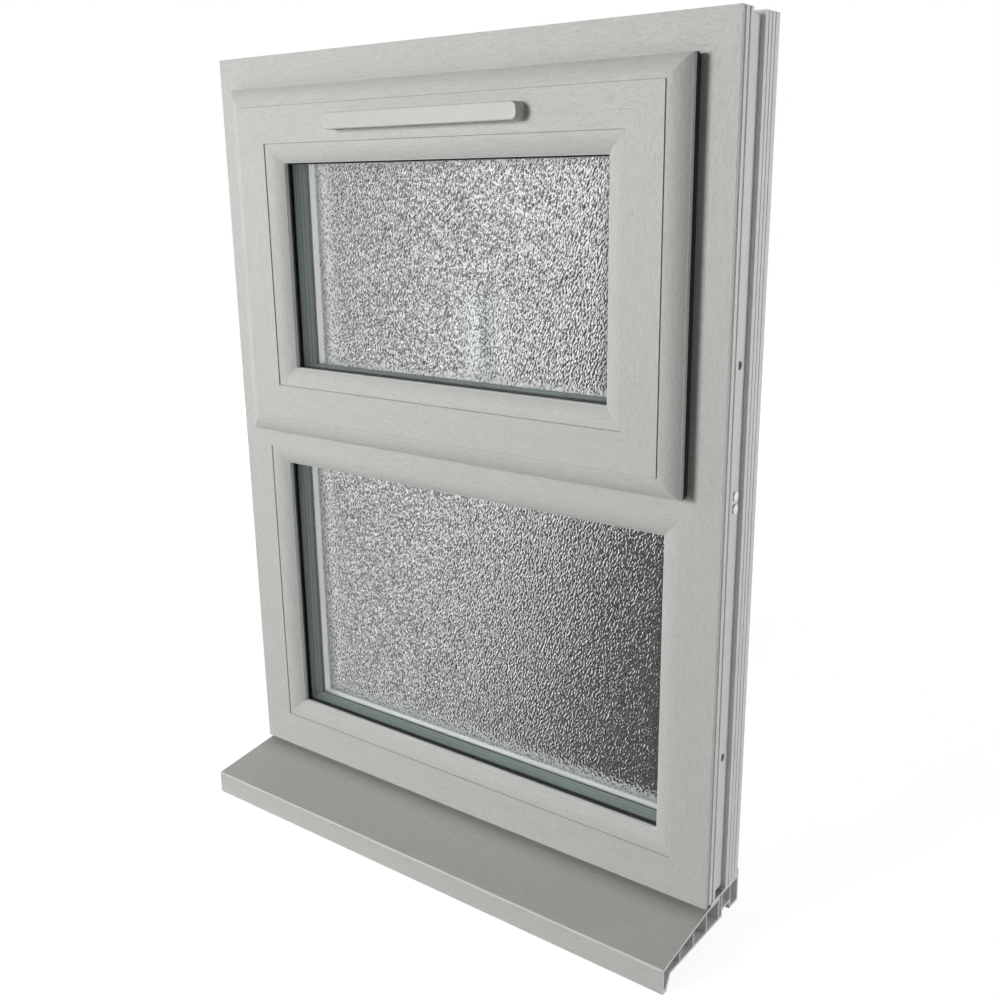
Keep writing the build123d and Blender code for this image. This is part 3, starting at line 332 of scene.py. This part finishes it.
def make_rolled_stipple():
    """Pattern of obscure glass: small leaning blobs, with a mask of their crowns."""
    tree, given, wanted = open_group("rolled_stipple", [("Place", VECTOR)], ["Height", "Crown"])
    x, y, z = parts(tree, given["Place"])
    lean_cos, lean_sin = math.cos(BLOB_LEAN), math.sin(BLOB_LEAN)
    along = weighted(tree, x, lean_cos, z, lean_sin)
    across = weighted(tree, z, lean_cos, x, -lean_sin)
    spot = tree.nodes.new("ShaderNodeCombineXYZ")
    feed(tree, spot.inputs["X"], maths(tree, "DIVIDE", across, STIPPLE_WIDTH))
    feed(tree, spot.inputs["Y"], maths(tree, "DIVIDE", along, STIPPLE_LENGTH))
    blobs = cloud(tree, spot.outputs[0], 1.0, 1.0, 0.4)
    feed(tree, wanted["Height"], blobs)
    feed(tree, wanted["Crown"], spread(tree, blobs, 0.36, 0.50))
    return tree


foil_grain = make_foil_grain()
moulded_skin = make_moulded_skin()
corner_welds = make_corner_welds()
drawn_metal = make_drawn_metal()
rolled_stipple = make_rolled_stipple()


def new_finish(name):
    """A material with one Principled shader."""
    material = bpy.data.materials.new(name)
    material.use_nodes = True
    tree = material.node_tree
    tree.nodes.clear()
    output = tree.nodes.new("ShaderNodeOutputMaterial")
    shader = tree.nodes.new("ShaderNodeBsdfPrincipled")
    tree.links.new(shader.outputs[0], output.inputs["Surface"])
    return material, tree, shader


def emboss(tree, shader, height, depth, strength):
    """Raise the surface by a height from 0 to 1, depth in millimetres."""
    values = {"Height": height, "Distance": depth * MM, "Strength": strength}
    bump = add(tree, "ShaderNodeBump", {}, values)
    tree.links.new(bump.outputs[0], shader.inputs["Normal"])


def foil_finish(name, ring=None, wrap=None, lip=False, painted_edge_split=None, crease_shades=()):
    """Woodgrain foil with its dark corner lines, and painted shade in its creases.

    Bare white plastic shows behind the line where the foil ends, or on a bead's lip."""
    material, tree, shader = new_finish(name)
    place = place_mm(tree)
    upright, line = 0.0, 0.0
    if ring:
        half, low, top = ring
        weld = use_group(
            tree, corner_welds, {"Place": place, "Half Width": half, "Low": low, "Top": top}
        )
        upright = weld["Upright"]
        line = weld["Line"]
    grain = use_group(tree, foil_grain, {"Place": place, "Upright": upright})
    colour = mix_colour(tree, grain["Tone"], FOIL_DARK, FOIL_PALE)
    rough = spread(tree, grain["Tone"], 0.0, 1.0, *FOIL_ROUGH, "LINEAR")
    height = grain["Height"]
    if lip or wrap is not None:
        skin = use_group(tree, moulded_skin, {"Place": place, "Size": 0.8})
        if lip:
            bare = spread(tree, weld["Inset"], -0.6, -0.4)
        else:
            bare = spread(tree, parts(tree, place)["Y"], wrap - 0.15, wrap + 0.15)
        plastic = mix_colour(tree, skin["Tone"], PLASTIC_DARK, PLASTIC_PALE)
        colour = mix_colour(tree, bare, colour, plastic)
        rough = mix_value(tree, bare, rough, BARE_ROUGH)
        height = mix_value(tree, bare, height, maths(tree, "MULTIPLY", skin["Height"], 0.15))
    if ring:
        colour = mix_colour(tree, maths(tree, "MULTIPLY", line, 0.07), colour, JOINT_AND_SHADE_DARK)
        height = maths(tree, "SUBTRACT", height, maths(tree, "MULTIPLY", line, 0.08))
    # Painted shade: the creases are darkened on every side, whichever way the light falls
    for start, end in crease_shades:
        past_start = spread(tree, weld["Inset"], start - 0.1, start + 0.1)
        past_end = spread(tree, weld["Inset"], end, end + 0.1)
        crease_shade = maths(tree, "MULTIPLY", maths(tree, "SUBTRACT", past_start, past_end), CREASE_SHADE_DEPTH)
        colour = mix_colour(tree, crease_shade, colour, JOINT_AND_SHADE_DARK)
    # Sash's outer edge: pale plastic in front as a painted highlight, black behind for the seal
    # line and its painted shadow
    if painted_edge_split is not None:
        outer = spread(tree, weld["Inset"], 0.3, 0.4, 1.0, 0.0)
        behind = spread(tree, parts(tree, place)["Y"], painted_edge_split - 0.1, painted_edge_split + 0.1)
        edge = mix_colour(tree, behind, PLASTIC_PALE, SEAL_AND_SHADOW_DARK)
        colour = mix_colour(tree, outer, colour, edge)
    feed(tree, shader.inputs["Base Color"], colour)
    feed(tree, shader.inputs["Roughness"], rough)
    shader.inputs["Specular IOR Level"].default_value = FOIL_SHEEN
    emboss(tree, shader, height, FOIL_RELIEF, 1.0)
    return material


def cill_finish():
    """Foil on the top and the nose, with painted shade over the top that deepens by the frame, and
    a painted highlight along the nose's edge.

    The cut ends and the chambers are bare plastic."""
    material, tree, shader = new_finish("cill_foil")
    place = place_mm(tree)
    x, y, z = parts(tree, place)
    grain = use_group(tree, foil_grain, {"Place": place, "Upright": 0.0})
    skin = use_group(tree, moulded_skin, {"Place": place, "Size": 0.9})
    fall = maths(tree, "MULTIPLY", maths(tree, "SUBTRACT", y, CILL_FRONT), CILL_FALL)
    top = maths(tree, "ADD", fall, CILL_FRONT_TOP - CILL_SKIN)
    on_top = maths(tree, "GREATER_THAN", z, top)
    on_nose = maths(tree, "LESS_THAN", y, CILL_FRONT + CILL_SKIN)
    foiled = maths(tree, "MAXIMUM", on_top, on_nose)
    inside = maths(tree, "LESS_THAN", maths(tree, "ABSOLUTE", x), CILL_END)
    foiled = maths(tree, "MULTIPLY", foiled, inside)
    foil = mix_colour(tree, grain["Tone"], FOIL_DARK, FOIL_PALE)
    # Painted shade: the whole top is darkened, most of all close to the frame
    shade_by_frame = spread(tree, y, CILL_SHADE_START, 0.0, *CILL_TOP_SHADE)
    corner = maths(tree, "MULTIPLY", on_top, shade_by_frame)
    foil = mix_colour(tree, corner, foil, JOINT_AND_SHADE_DARK)
    # Painted highlight along the nose's top edge
    nose_highlight = maths(tree, "LESS_THAN", y, CILL_FRONT + NOSE_HIGHLIGHT_WIDTH)
    foil = mix_colour(tree, maths(tree, "MULTIPLY", on_top, nose_highlight), foil, ARRIS_HIGHLIGHT)
    # Cut ends and chambers: bare plastic, painted paler as light in the chambers
    core = mix_colour(tree, skin["Tone"], CORE_DARK, CORE_PALE)
    feed(tree, shader.inputs["Base Color"], mix_colour(tree, foiled, core, foil))
    rough = spread(tree, grain["Tone"], 0.0, 1.0, *CILL_ROUGH, "LINEAR")
    feed(tree, shader.inputs["Roughness"], mix_value(tree, foiled, CUT_ROUGH, rough))
    cut = maths(tree, "MULTIPLY", skin["Height"], 0.2)
    shader.inputs["Specular IOR Level"].default_value = FOIL_SHEEN
    emboss(tree, shader, mix_value(tree, foiled, cut, grain["Height"]), CILL_RELIEF, 1.0)
    return material


def moulded_finish(name, dark, pale, size, rough, depth):
    """Plain moulded plastic, rubber or paint with its fine skin."""
    material, tree, shader = new_finish(name)
    skin = use_group(tree, moulded_skin, {"Place": place_mm(tree), "Size": size})
    feed(tree, shader.inputs["Base Color"], mix_colour(tree, skin["Tone"], dark, pale))
    sheen = spread(tree, skin["Tone"], 0, 1, rough + 0.06, rough - 0.06)
    feed(tree, shader.inputs["Roughness"], sheen)
    emboss(tree, shader, skin["Height"], depth, 0.6)
    return material


def metal_finish(name, dark, pale, stretch, rough, depth):
    """Bare metal with hair lines."""
    material, tree, shader = new_finish(name)
    drawn = use_group(tree, drawn_metal, {"Place": place_mm(tree), "Stretch": stretch})
    feed(tree, shader.inputs["Base Color"], mix_colour(tree, drawn["Tone"], dark, pale))
    sheen = spread(tree, drawn["Tone"], 0, 1, rough + 0.08, rough - 0.08)
    feed(tree, shader.inputs["Roughness"], sheen)
    shader.inputs["Metallic"].default_value = 1.0
    emboss(tree, shader, drawn["Height"], depth, 0.5)
    return material


def spacer_finish(name, front, foot):
    """Satin grey-green spacer bar with rolled lines, and butyl at its front and foot."""
    material, tree, shader = new_finish(name)
    place = place_mm(tree)
    depth = maths(tree, "SUBTRACT", parts(tree, place)["Y"], front)
    turn = maths(tree, "MULTIPLY", depth, 2 * math.pi / SPACER_LINE_PITCH)
    wave = maths(tree, "MULTIPLY_ADD", maths(tree, "SINE", turn), 0.5, 0.5)
    groove = spread(tree, wave, 0.0, 0.45)
    drawn = use_group(tree, drawn_metal, {"Place": place, "Stretch": (0.05, 1.0, 0.05)})
    body = mix_colour(tree, drawn["Tone"], BAR_DARK, BAR_PALE)
    shade = mix_colour(tree, groove, BAR_LINE, body)
    front_line = spread(tree, depth, *BUTYL_FRONT, 1.0, 0.0)
    low = maths(tree, "LESS_THAN", parts(tree, place)["Z"], foot + SPACER_BAR)
    back_line = maths(tree, "MULTIPLY", spread(tree, depth, *BUTYL_BACK), low)
    butyl = maths(tree, "MAXIMUM", front_line, back_line)
    feed(tree, shader.inputs["Base Color"], mix_colour(tree, butyl, shade, BUTYL))
    feed(tree, shader.inputs["Roughness"], spread(tree, drawn["Tone"], 0, 1, 0.5, 0.38))
    shader.inputs["Metallic"].default_value = 0.25
    emboss(tree, shader, groove, 0.15, 0.5)
    return material


def pass_lamps(tree, shader, share):
    """Let a share of the lamps' light straight through glass."""
    path = tree.nodes.new("ShaderNodeLightPath")
    clear = add(tree, "ShaderNodeBsdfTransparent", {}, {"Color": share})
    blend = add(tree, "ShaderNodeMixShader", {}, {0: path.outputs["Is Shadow Ray"]})
    tree.links.new(shader.outputs[0], blend.inputs[1])
    tree.links.new(clear.outputs[0], blend.inputs[2])
    output = [node for node in tree.nodes if node.type == "OUTPUT_MATERIAL"][0]
    tree.links.new(blend.outputs[0], output.inputs["Surface"])


def clear_finish(name, thin, thick):
    """Float glass with faint smears, which lets the lamps through."""
    material, tree, shader = new_finish(name)
    smear = cloud(tree, place_mm(tree), 0.015, 4.0)
    feed(tree, shader.inputs["Base Color"], mix_colour(tree, smear, thick, thin))
    feed(tree, shader.inputs["Roughness"], spread(tree, smear, 0.35, 0.65, 0.0, 0.012))
    shader.inputs["IOR"].default_value = 1.5
    shader.inputs["Transmission Weight"].default_value = 1.0
    pass_lamps(tree, shader, (0.90, 0.94, 0.92, 1))
    return material


def stipple_finish(name, hollow_shade, crown_highlight):
    """Rolled obscure glass: painted shade in the hollows and painted highlights on the crowns of
    its pattern, and painted shade along its edges.
    """
    material, tree, shader = new_finish(name)
    place = place_mm(tree)
    field = add(tree, "ShaderNodeAttribute", {"attribute_name": "field"}, {}).outputs["Fac"]
    rolled = use_group(tree, rolled_stipple, {"Place": place})
    # Painted light: hollows darkened and crowns lightened in the glass's own colour
    rise = mix_value(tree, field, 1.0, rolled["Crown"])
    tint = mix_colour(tree, rise, hollow_shade, crown_highlight)
    # Painted shade along the pattern's edges, where the lit upstands behind would glow
    rim = add(tree, "ShaderNodeAttribute", {"attribute_name": "rim"}, {}).outputs["Fac"]
    feed(tree, shader.inputs["Base Color"], mix_colour(tree, rim, tint, RIM_SHADE))
    smear = cloud(tree, place, 0.015, 4.0)
    feed(tree, shader.inputs["Roughness"], spread(tree, smear, 0.35, 0.65, 0.03, 0.06))
    shader.inputs["IOR"].default_value = 1.5
    shader.inputs["Transmission Weight"].default_value = 1.0
    shader.inputs["Specular Tint"].default_value = (0.4, 0.4, 0.4, 1)
    emboss(tree, shader, maths(tree, "MULTIPLY", rolled["Height"], field), STIPPLE_DEPTH, 1.0)
    pass_lamps(tree, shader, (0.26, 0.265, 0.265, 1))
    return material


frame_ring = (FRAME_HALF, FRAME_LOW, FRAME_TOP)
sash_ring = (SASH_HALF, SASH_LOW, SASH_TOP)
frame_foil = foil_finish("frame_foil", ring=frame_ring, wrap=FRAME_FOIL_WRAP)
transom_foil = foil_finish("transom_foil", wrap=FRAME_FOIL_WRAP)
sash_foil = foil_finish(
    "sash_foil", ring=sash_ring, wrap=SASH_FOIL_WRAP, painted_edge_split=SASH_PAINTED_EDGE_SPLIT, crease_shades=SASH_CREASE_SHADES
)
fixed_bead_foil = foil_finish("fixed_bead_foil", ring=FIXED_BEAD_LIP, lip=True, crease_shades=BEAD_CREASE_SHADES)
sash_bead_foil = foil_finish("sash_bead_foil", ring=SASH_BEAD_LIP, lip=True, crease_shades=BEAD_CREASE_SHADES)
cill_foil = cill_finish()
canopy_plastic = moulded_finish(
    "canopy_plastic", CANOPY_DARK, CANOPY_PALE, size=0.7, rough=0.45, depth=0.05
)
clear_glass = clear_finish("clear_glass", (0.975, 0.985, 0.980, 1), (0.955, 0.972, 0.964, 1))
stipple_glass = stipple_finish("stipple_glass", (0.24, 0.24, 0.24, 1), (0.99, 0.99, 0.99, 1))
black_rubber = moulded_finish(
    "black_rubber",
    (0.018, 0.018, 0.018, 1),
    (0.030, 0.030, 0.031, 1),
    size=0.5,
    rough=0.5,
    depth=0.08,
)
bead_rubber = moulded_finish(
    "bead_rubber",
    (0.065, 0.070, 0.068, 1),
    (0.090, 0.096, 0.093, 1),
    size=0.5,
    rough=0.5,
    depth=0.08,
)
edge_sealant = moulded_finish(
    "edge_sealant",
    (0.018, 0.022, 0.021, 1),
    (0.032, 0.037, 0.036, 1),
    size=1.5,
    rough=0.6,
    depth=0.2,
)
fixed_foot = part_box("fixed_spacer")[0].z * PER_METRE
sash_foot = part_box("sash_spacer")[0].z * PER_METRE
fixed_bar = spacer_finish("fixed_spacer_bar", FIXED_SPACER_FRONT, fixed_foot)
sash_bar = spacer_finish("sash_spacer_bar", SASH_SPACER_FRONT, sash_foot)
packer_plastic = moulded_finish(
    "packer_plastic",
    (0.05, 0.10, 0.27, 1),
    (0.07, 0.13, 0.33, 1),
    size=0.8,
    rough=0.35,
    depth=0.05,
)
plated_steel = metal_finish(
    "plated_steel",
    (0.40, 0.41, 0.42, 1),
    (0.52, 0.53, 0.54, 1),
    stretch=(0.2, 1.0, 0.2),
    rough=0.36,
    depth=0.03,
)
stay_steel = metal_finish(
    "stay_steel",
    (0.55, 0.55, 0.55, 1),
    (0.70, 0.70, 0.70, 1),
    stretch=(1.0, 1.0, 0.06),
    rough=0.32,
    depth=0.03,
)
cast_zinc = metal_finish(
    "cast_zinc",
    (0.42, 0.43, 0.44, 1),
    (0.55, 0.56, 0.57, 1),
    stretch=(0.8, 0.8, 0.8),
    rough=0.5,
    depth=0.12,
)
shoe_plastic = moulded_finish(
    "shoe_plastic",
    (0.018, 0.018, 0.019, 1),
    (0.035, 0.035, 0.036, 1),
    size=0.7,
    rough=0.45,
    depth=0.06,
)
handle_paint = moulded_finish(
    "handle_paint",
    (0.80, 0.803, 0.795, 1),
    (0.85, 0.853, 0.845, 1),
    size=0.9,
    rough=0.32,
    depth=0.03,
)
button_chrome = metal_finish(
    "button_chrome",
    (0.72, 0.72, 0.73, 1),
    (0.80, 0.80, 0.81, 1),
    stretch=(1.0, 1.0, 1.0),
    rough=0.14,
    depth=0.01,
)
vent_plastic = moulded_finish(
    "vent_plastic",
    (0.78, 0.78, 0.765, 1),
    (0.84, 0.84, 0.825, 1),
    size=0.8,
    rough=0.38,
    depth=0.04,
)

finishes = [
    (frame_foil, ["outer_frame"]),
    (transom_foil, ["transom"]),
    (sash_foil, ["sash_frame"]),
    (
        fixed_bead_foil,
        ["fixed_bead_bottom", "fixed_bead_right", "fixed_bead_top", "fixed_bead_left"],
    ),
    (sash_bead_foil, ["sash_bead_bottom", "sash_bead_right", "sash_bead_top", "sash_bead_left"]),
    (cill_foil, ["cill"]),
    (canopy_plastic, ["vent_canopy"]),
    (clear_glass, ["fixed_outer_pane", "sash_outer_pane"]),
    (stipple_glass, ["fixed_inner_pane", "sash_inner_pane"]),
    (bead_rubber, ["fixed_bead_gasket", "sash_bead_gasket"]),
    (
        black_rubber,
        [
            "fixed_glazing_gasket",
            "sash_glazing_gasket",
            "frame_weatherseal",
            "sash_weatherseal",
        ],
    ),
    (edge_sealant, ["fixed_edge_seal", "sash_edge_seal"]),
    (fixed_bar, ["fixed_spacer"]),
    (sash_bar, ["sash_spacer"]),
    (packer_plastic, ["fixed_packers", "sash_packers"]),
    (
        plated_steel,
        [
            "frame_reinforcement",
            "transom_reinforcement",
            "sash_reinforcement",
            "transom_screws",
            "cill_screws",
            "frame_hardware_screws",
            "sash_hardware_screws",
            "handle_screws",
            "vent_screws",
            "handle_spindle",
            "drive_gear",
            "drive_rail",
            "locking_cams",
            "keeps",
            "espag_faceplate",
        ],
    ),
    (
        stay_steel,
        [
            "stay_track_left",
            "stay_track_right",
            "stay_arm_left",
            "stay_arm_right",
            "stay_plate_left",
            "stay_plate_right",
        ],
    ),
    (cast_zinc, ["transom_cleats", "espag_gearbox"]),
    (shoe_plastic, ["stay_shoe_left", "stay_shoe_right"]),
    (handle_paint, ["handle_base", "handle_lever"]),
    (button_chrome, ["handle_button"]),
    (vent_plastic, ["vent_body", "vent_shutter"]),
]

for material, names in finishes:
    for name in names:
        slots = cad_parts[name].data.materials
        slots.clear()
        slots.append(material)

# Stipple pattern rolled into the inner panes
CELL_WIDTH = 1.2 * MM
CELL_HEIGHT = 1.6 * MM
BLOB_WIDTH = 1.9
BLOB_LENGTH = 3.3
RELIEF = 0.21
SIDE_RIM = 28.5
TOP_RIM = 10.0
FIXED_LOW_RIM = 22.0
SASH_LOW_RIM = 10.0
RIM_SOFTNESS = 3.0
# Painted shade along the pattern's edges: how far in it fades, and its strength
RIM_SHADE_REACH = 14.0
RIM_SHADE_DEPTH = 0.85
CREST = 0.8


def stipple(x, z):
    """Height of the pattern from about -1 to 1, at a place in millimetres."""
    along = x * math.cos(BLOB_LEAN) + z * math.sin(BLOB_LEAN)
    across = z * math.cos(BLOB_LEAN) - x * math.sin(BLOB_LEAN)
    spot = Vector((across / BLOB_WIDTH, along / BLOB_LENGTH, 0.37))
    return noise.noise(spot) + 0.3 * noise.noise(spot * 2.1)


def patterned_pane(name, node, body, low_rim):
    """One pane with the pattern on its cavity side, a plain rim, and painted shade where the
    pattern begins.
    """
    low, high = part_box(node)
    size = high - low
    middle = (low + high) / 2
    columns = round(size.x / CELL_WIDTH)
    rows = round(size.z / CELL_HEIGHT)
    mesh = bmesh.new()
    level = mesh.verts.layers.float.new("field")
    rim_shade_layer = mesh.verts.layers.float.new("rim")
    bmesh.ops.create_grid(mesh, x_segments=columns, y_segments=rows, size=0.5)
    upright = Matrix.Rotation(math.pi / 2, 4, "X")
    stretched = Matrix.Diagonal((size.x, 1, size.z, 1))
    moved = Matrix.Translation((middle.x, low.y, middle.z))
    bmesh.ops.transform(mesh, matrix=moved @ stretched @ upright, verts=mesh.verts)
    front = list(mesh.faces)
    face_points = list(mesh.verts)
    rim = [edge for edge in mesh.edges if edge.is_boundary]
    drawn = bmesh.ops.extrude_edge_only(mesh, edges=rim)["geom"]
    back_points = [item for item in drawn if isinstance(item, bmesh.types.BMVert)]
    bmesh.ops.translate(mesh, vec=(0, size.y, 0), verts=back_points)
    back = [item for item in drawn if isinstance(item, bmesh.types.BMEdge) and item.is_boundary]
    bmesh.ops.edgeloop_fill(mesh, edges=back)
    bmesh.ops.recalc_face_normals(mesh, faces=mesh.faces)
    for point in mesh.verts:
        point[level] = 0.0
    for point in face_points:
        x, z = point.co.x * PER_METRE, point.co.z * PER_METRE
        inside = min(
            min(point.co.x - low.x, high.x - point.co.x) * PER_METRE - SIDE_RIM,
            (point.co.z - low.z) * PER_METRE - low_rim,
            (high.z - point.co.z) * PER_METRE - TOP_RIM,
        )
        fade = min(1.0, max(0.0, 0.5 + inside / RIM_SOFTNESS))
        height = stipple(x, z)
        point.co.y += (CREST - height) * fade * RELIEF * MM
        point[level] = fade
        # Painted shade, darkest where the pattern starts and fading inwards
        point[rim_shade_layer] = RIM_SHADE_DEPTH * fade * max(0.0, 1.0 - max(0.0, inside) / RIM_SHADE_REACH)
    for face in front:
        face.smooth = True
    for edge in rim:
        edge.smooth = False
    data = bpy.data.meshes.new(name)
    mesh.to_mesh(data)
    mesh.free()
    pane = bpy.data.objects.new(name, data)
    bpy.context.scene.collection.objects.link(pane)
    data.materials.append(stipple_glass)
    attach(pane, body)
    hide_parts(node)


patterned_pane("fixed_patterned_pane", "fixed_inner_pane", "frame", FIXED_LOW_RIM)
patterned_pane("sash_patterned_pane", "sash_inner_pane", "sash", SASH_LOW_RIM)

# Floor, cards and lamps
scene = bpy.context.scene
scene.view_settings.view_transform = "Standard"


def seen_rays(tree):
    """1 for what the camera sees, straight, mirrored or through glass."""
    path = tree.nodes.new("ShaderNodeLightPath").outputs
    shown = maths(tree, "MAXIMUM", path["Is Camera Ray"], path["Is Glossy Ray"])
    return maths(tree, "MAXIMUM", shown, path["Is Transmission Ray"])


def flat_piece(name, corners):
    """A stage card from its corners."""
    mesh = bmesh.new()
    mesh.faces.new([mesh.verts.new(corner) for corner in corners])
    data = bpy.data.meshes.new(name)
    mesh.to_mesh(data)
    mesh.free()
    card = bpy.data.objects.new(name, data)
    scene.collection.objects.link(card)
    return card


def light_only(card, glossy=False, transmission=False):
    """Show a card only in reflections or only through glass."""
    card.visible_camera = False
    card.visible_diffuse = False
    card.visible_shadow = False
    card.visible_volume_scatter = False
    card.visible_glossy = glossy
    card.visible_transmission = transmission


FLOOR_LEVEL = cad_box[0][2]
FLOOR_REACH = 7.0
FLOOR_LIT = (0.5, 0.5, 0.5, 1)
FLOOR_SEEN = (0.25, 0.25, 0.25, 1)
floor = flat_piece(
    "studio_floor",
    [
        (-FLOOR_REACH, -FLOOR_REACH, FLOOR_LEVEL),
        (FLOOR_REACH, -FLOOR_REACH, FLOOR_LEVEL),
        (FLOOR_REACH, FLOOR_REACH, FLOOR_LEVEL),
        (-FLOOR_REACH, FLOOR_REACH, FLOOR_LEVEL),
    ],
)
floor.visible_transmission = False
paint, tree, shader = new_finish("studio_floor_paint")
shader.inputs["Roughness"].default_value = 0.9
shader.inputs["Specular IOR Level"].default_value = 0.0
seen = seen_rays(tree)
spot = tree.nodes.new("ShaderNodeTexCoord").outputs["Object"]
measure = add(tree, "ShaderNodeVectorMath", {"operation": "LENGTH"}, {0: spot})
radius = measure.outputs["Value"]
feed(tree, shader.inputs["Base Color"], mix_colour(tree, seen, FLOOR_LIT, FLOOR_SEEN))
feed(tree, shader.inputs["Emission Color"], WHITE)
glow = spread(tree, radius, 0.6, 2.2, 0.9, 1.0)
feed(tree, shader.inputs["Emission Strength"], maths(tree, "MULTIPLY", glow, seen))
floor.data.materials.append(paint)

# Card with soft leaning bands, which only the glass shows
BACKDROP = 6.0
BACKDROP_LEFT = -60.0
BACKDROP_RIGHT = 30.0
BACKDROP_HALF_HEIGHT = 45.0
BAND_MIDDLE = -4.95
BAND_RUN = 0.973
BAND_RISE = 0.460
BAND_HALF_PITCH = 4.0
BAND_EDGE = (0.95, 1.45)
BAND_DARK = 0.01
backdrop = flat_piece(
    "glass_backdrop",
    [
        (BACKDROP_LEFT, BACKDROP, -BACKDROP_HALF_HEIGHT),
        (BACKDROP_RIGHT, BACKDROP, -BACKDROP_HALF_HEIGHT),
        (BACKDROP_RIGHT, BACKDROP, BACKDROP_HALF_HEIGHT),
        (BACKDROP_LEFT, BACKDROP, BACKDROP_HALF_HEIGHT),
    ],
)
light_only(backdrop, transmission=True)
paint, tree, shader = new_finish("glass_backdrop_paint")
x, y, z = parts(tree, tree.nodes.new("ShaderNodeTexCoord").outputs["Object"])
run = maths(tree, "MULTIPLY", maths(tree, "SUBTRACT", x, BAND_MIDDLE), BAND_RUN)
rise = maths(tree, "MULTIPLY", z, BAND_RISE)
away = maths(tree, "PINGPONG", maths(tree, "SUBTRACT", run, rise), BAND_HALF_PITCH)
shine = spread(tree, away, *BAND_EDGE, 1.0, BAND_DARK)
shader.inputs["Base Color"].default_value = (0, 0, 0, 1)
shader.inputs["Specular IOR Level"].default_value = 0.0
feed(tree, shader.inputs["Emission Color"], WHITE)
feed(tree, shader.inputs["Emission Strength"], shine)
backdrop.data.materials.append(paint)

# Dark cards, which only reflections show
flag = flat_piece(
    "dark_flag",
    [(-1.7, -0.75, -0.01), (0.1, -0.75, -0.01), (0.1, -0.75, 1.1), (-1.7, -0.75, 1.1)],
)
light_only(flag, glossy=True)
low_flag = flat_piece(
    "low_dark_flag",
    [(-1.7, -0.75, -0.012), (0.2, -0.75, -0.012), (0.2, -0.1, -0.012), (-1.7, -0.1, -0.012)],
)
light_only(low_flag, glossy=True)
paint, tree, shader = new_finish("dark_flag_cloth")
shader.inputs["Base Color"].default_value = (0.01, 0.01, 0.01, 1)
shader.inputs["Specular IOR Level"].default_value = 0.0
for card in (flag, low_flag):
    card.data.materials.append(paint)


def soft_lamp(name, place, aim, size, power):
    """A square lamp that the camera and the glass don't show."""
    lamp = bpy.data.lights.new(name, "AREA")
    lamp.size = size
    lamp.energy = power
    holder = bpy.data.objects.new(name, lamp)
    scene.collection.objects.link(holder)
    holder.location = place
    holder.rotation_euler = (Vector(aim) - Vector(place)).to_track_quat("-Z", "Y").to_euler()
    holder.visible_camera = False
    holder.visible_transmission = False


soft_lamp("front_lamp", (-0.884, -2.426, 1.03), (0, 0, 0.43), 0.8, 52.5)
soft_lamp("left_lamp", (-2.81, -1.02, 0.69), (0, 0, 0.43), 0.8, 7.0)
soft_lamp("right_back_lamp", (2.4, 1.65, 0.5), (0, 0, 0.40), 1.4, 42.0)
soft_lamp("left_back_lamp", (-1.8, 2.4, 0.7), (0, 0, 0.43), 1.2, 24.0)

AMBIENT = 0.09
world = bpy.data.worlds.new("studio_air")
scene.world = world
world.use_nodes = True
tree = world.node_tree
tree.nodes.clear()
air = add(tree, "ShaderNodeBackground", {}, {"Color": WHITE})
feed(tree, air.inputs["Strength"], mix_value(tree, seen_rays(tree), AMBIENT, 1.0))
shown = tree.nodes.new("ShaderNodeOutputWorld")
tree.links.new(air.outputs[0], shown.inputs["Surface"])

# Camera at the photograph's view
CAMERA_PLACE = Vector((0.7401, -0.8778, 0.7176))
CAMERA_TURN = math.radians(-37.27)
CAMERA_TILT = math.radians(-15.75)
CAMERA_ROLL = math.radians(-0.74)
ahead = Vector(
    (
        math.sin(CAMERA_TURN) * math.cos(CAMERA_TILT),
        math.cos(CAMERA_TURN) * math.cos(CAMERA_TILT),
        math.sin(CAMERA_TILT),
    )
)
right = Vector((math.cos(CAMERA_TURN), -math.sin(CAMERA_TURN), 0))
above = right.cross(ahead)
rolled_right = right * math.cos(CAMERA_ROLL) + above * math.sin(CAMERA_ROLL)
rolled_above = above * math.cos(CAMERA_ROLL) - right * math.sin(CAMERA_ROLL)
lens = bpy.data.cameras.new("photo_camera")
lens.sensor_width = 36.0
lens.lens = 40.84
lens.shift_x = -0.0034
lens.shift_y = 0.0001
camera = bpy.data.objects.new("photo_camera", lens)
scene.collection.objects.link(camera)
camera.matrix_world = Matrix.Translation(CAMERA_PLACE) @ Matrix(
    (rolled_right, rolled_above, -ahead)
).transposed().to_4x4()
scene.camera = camera
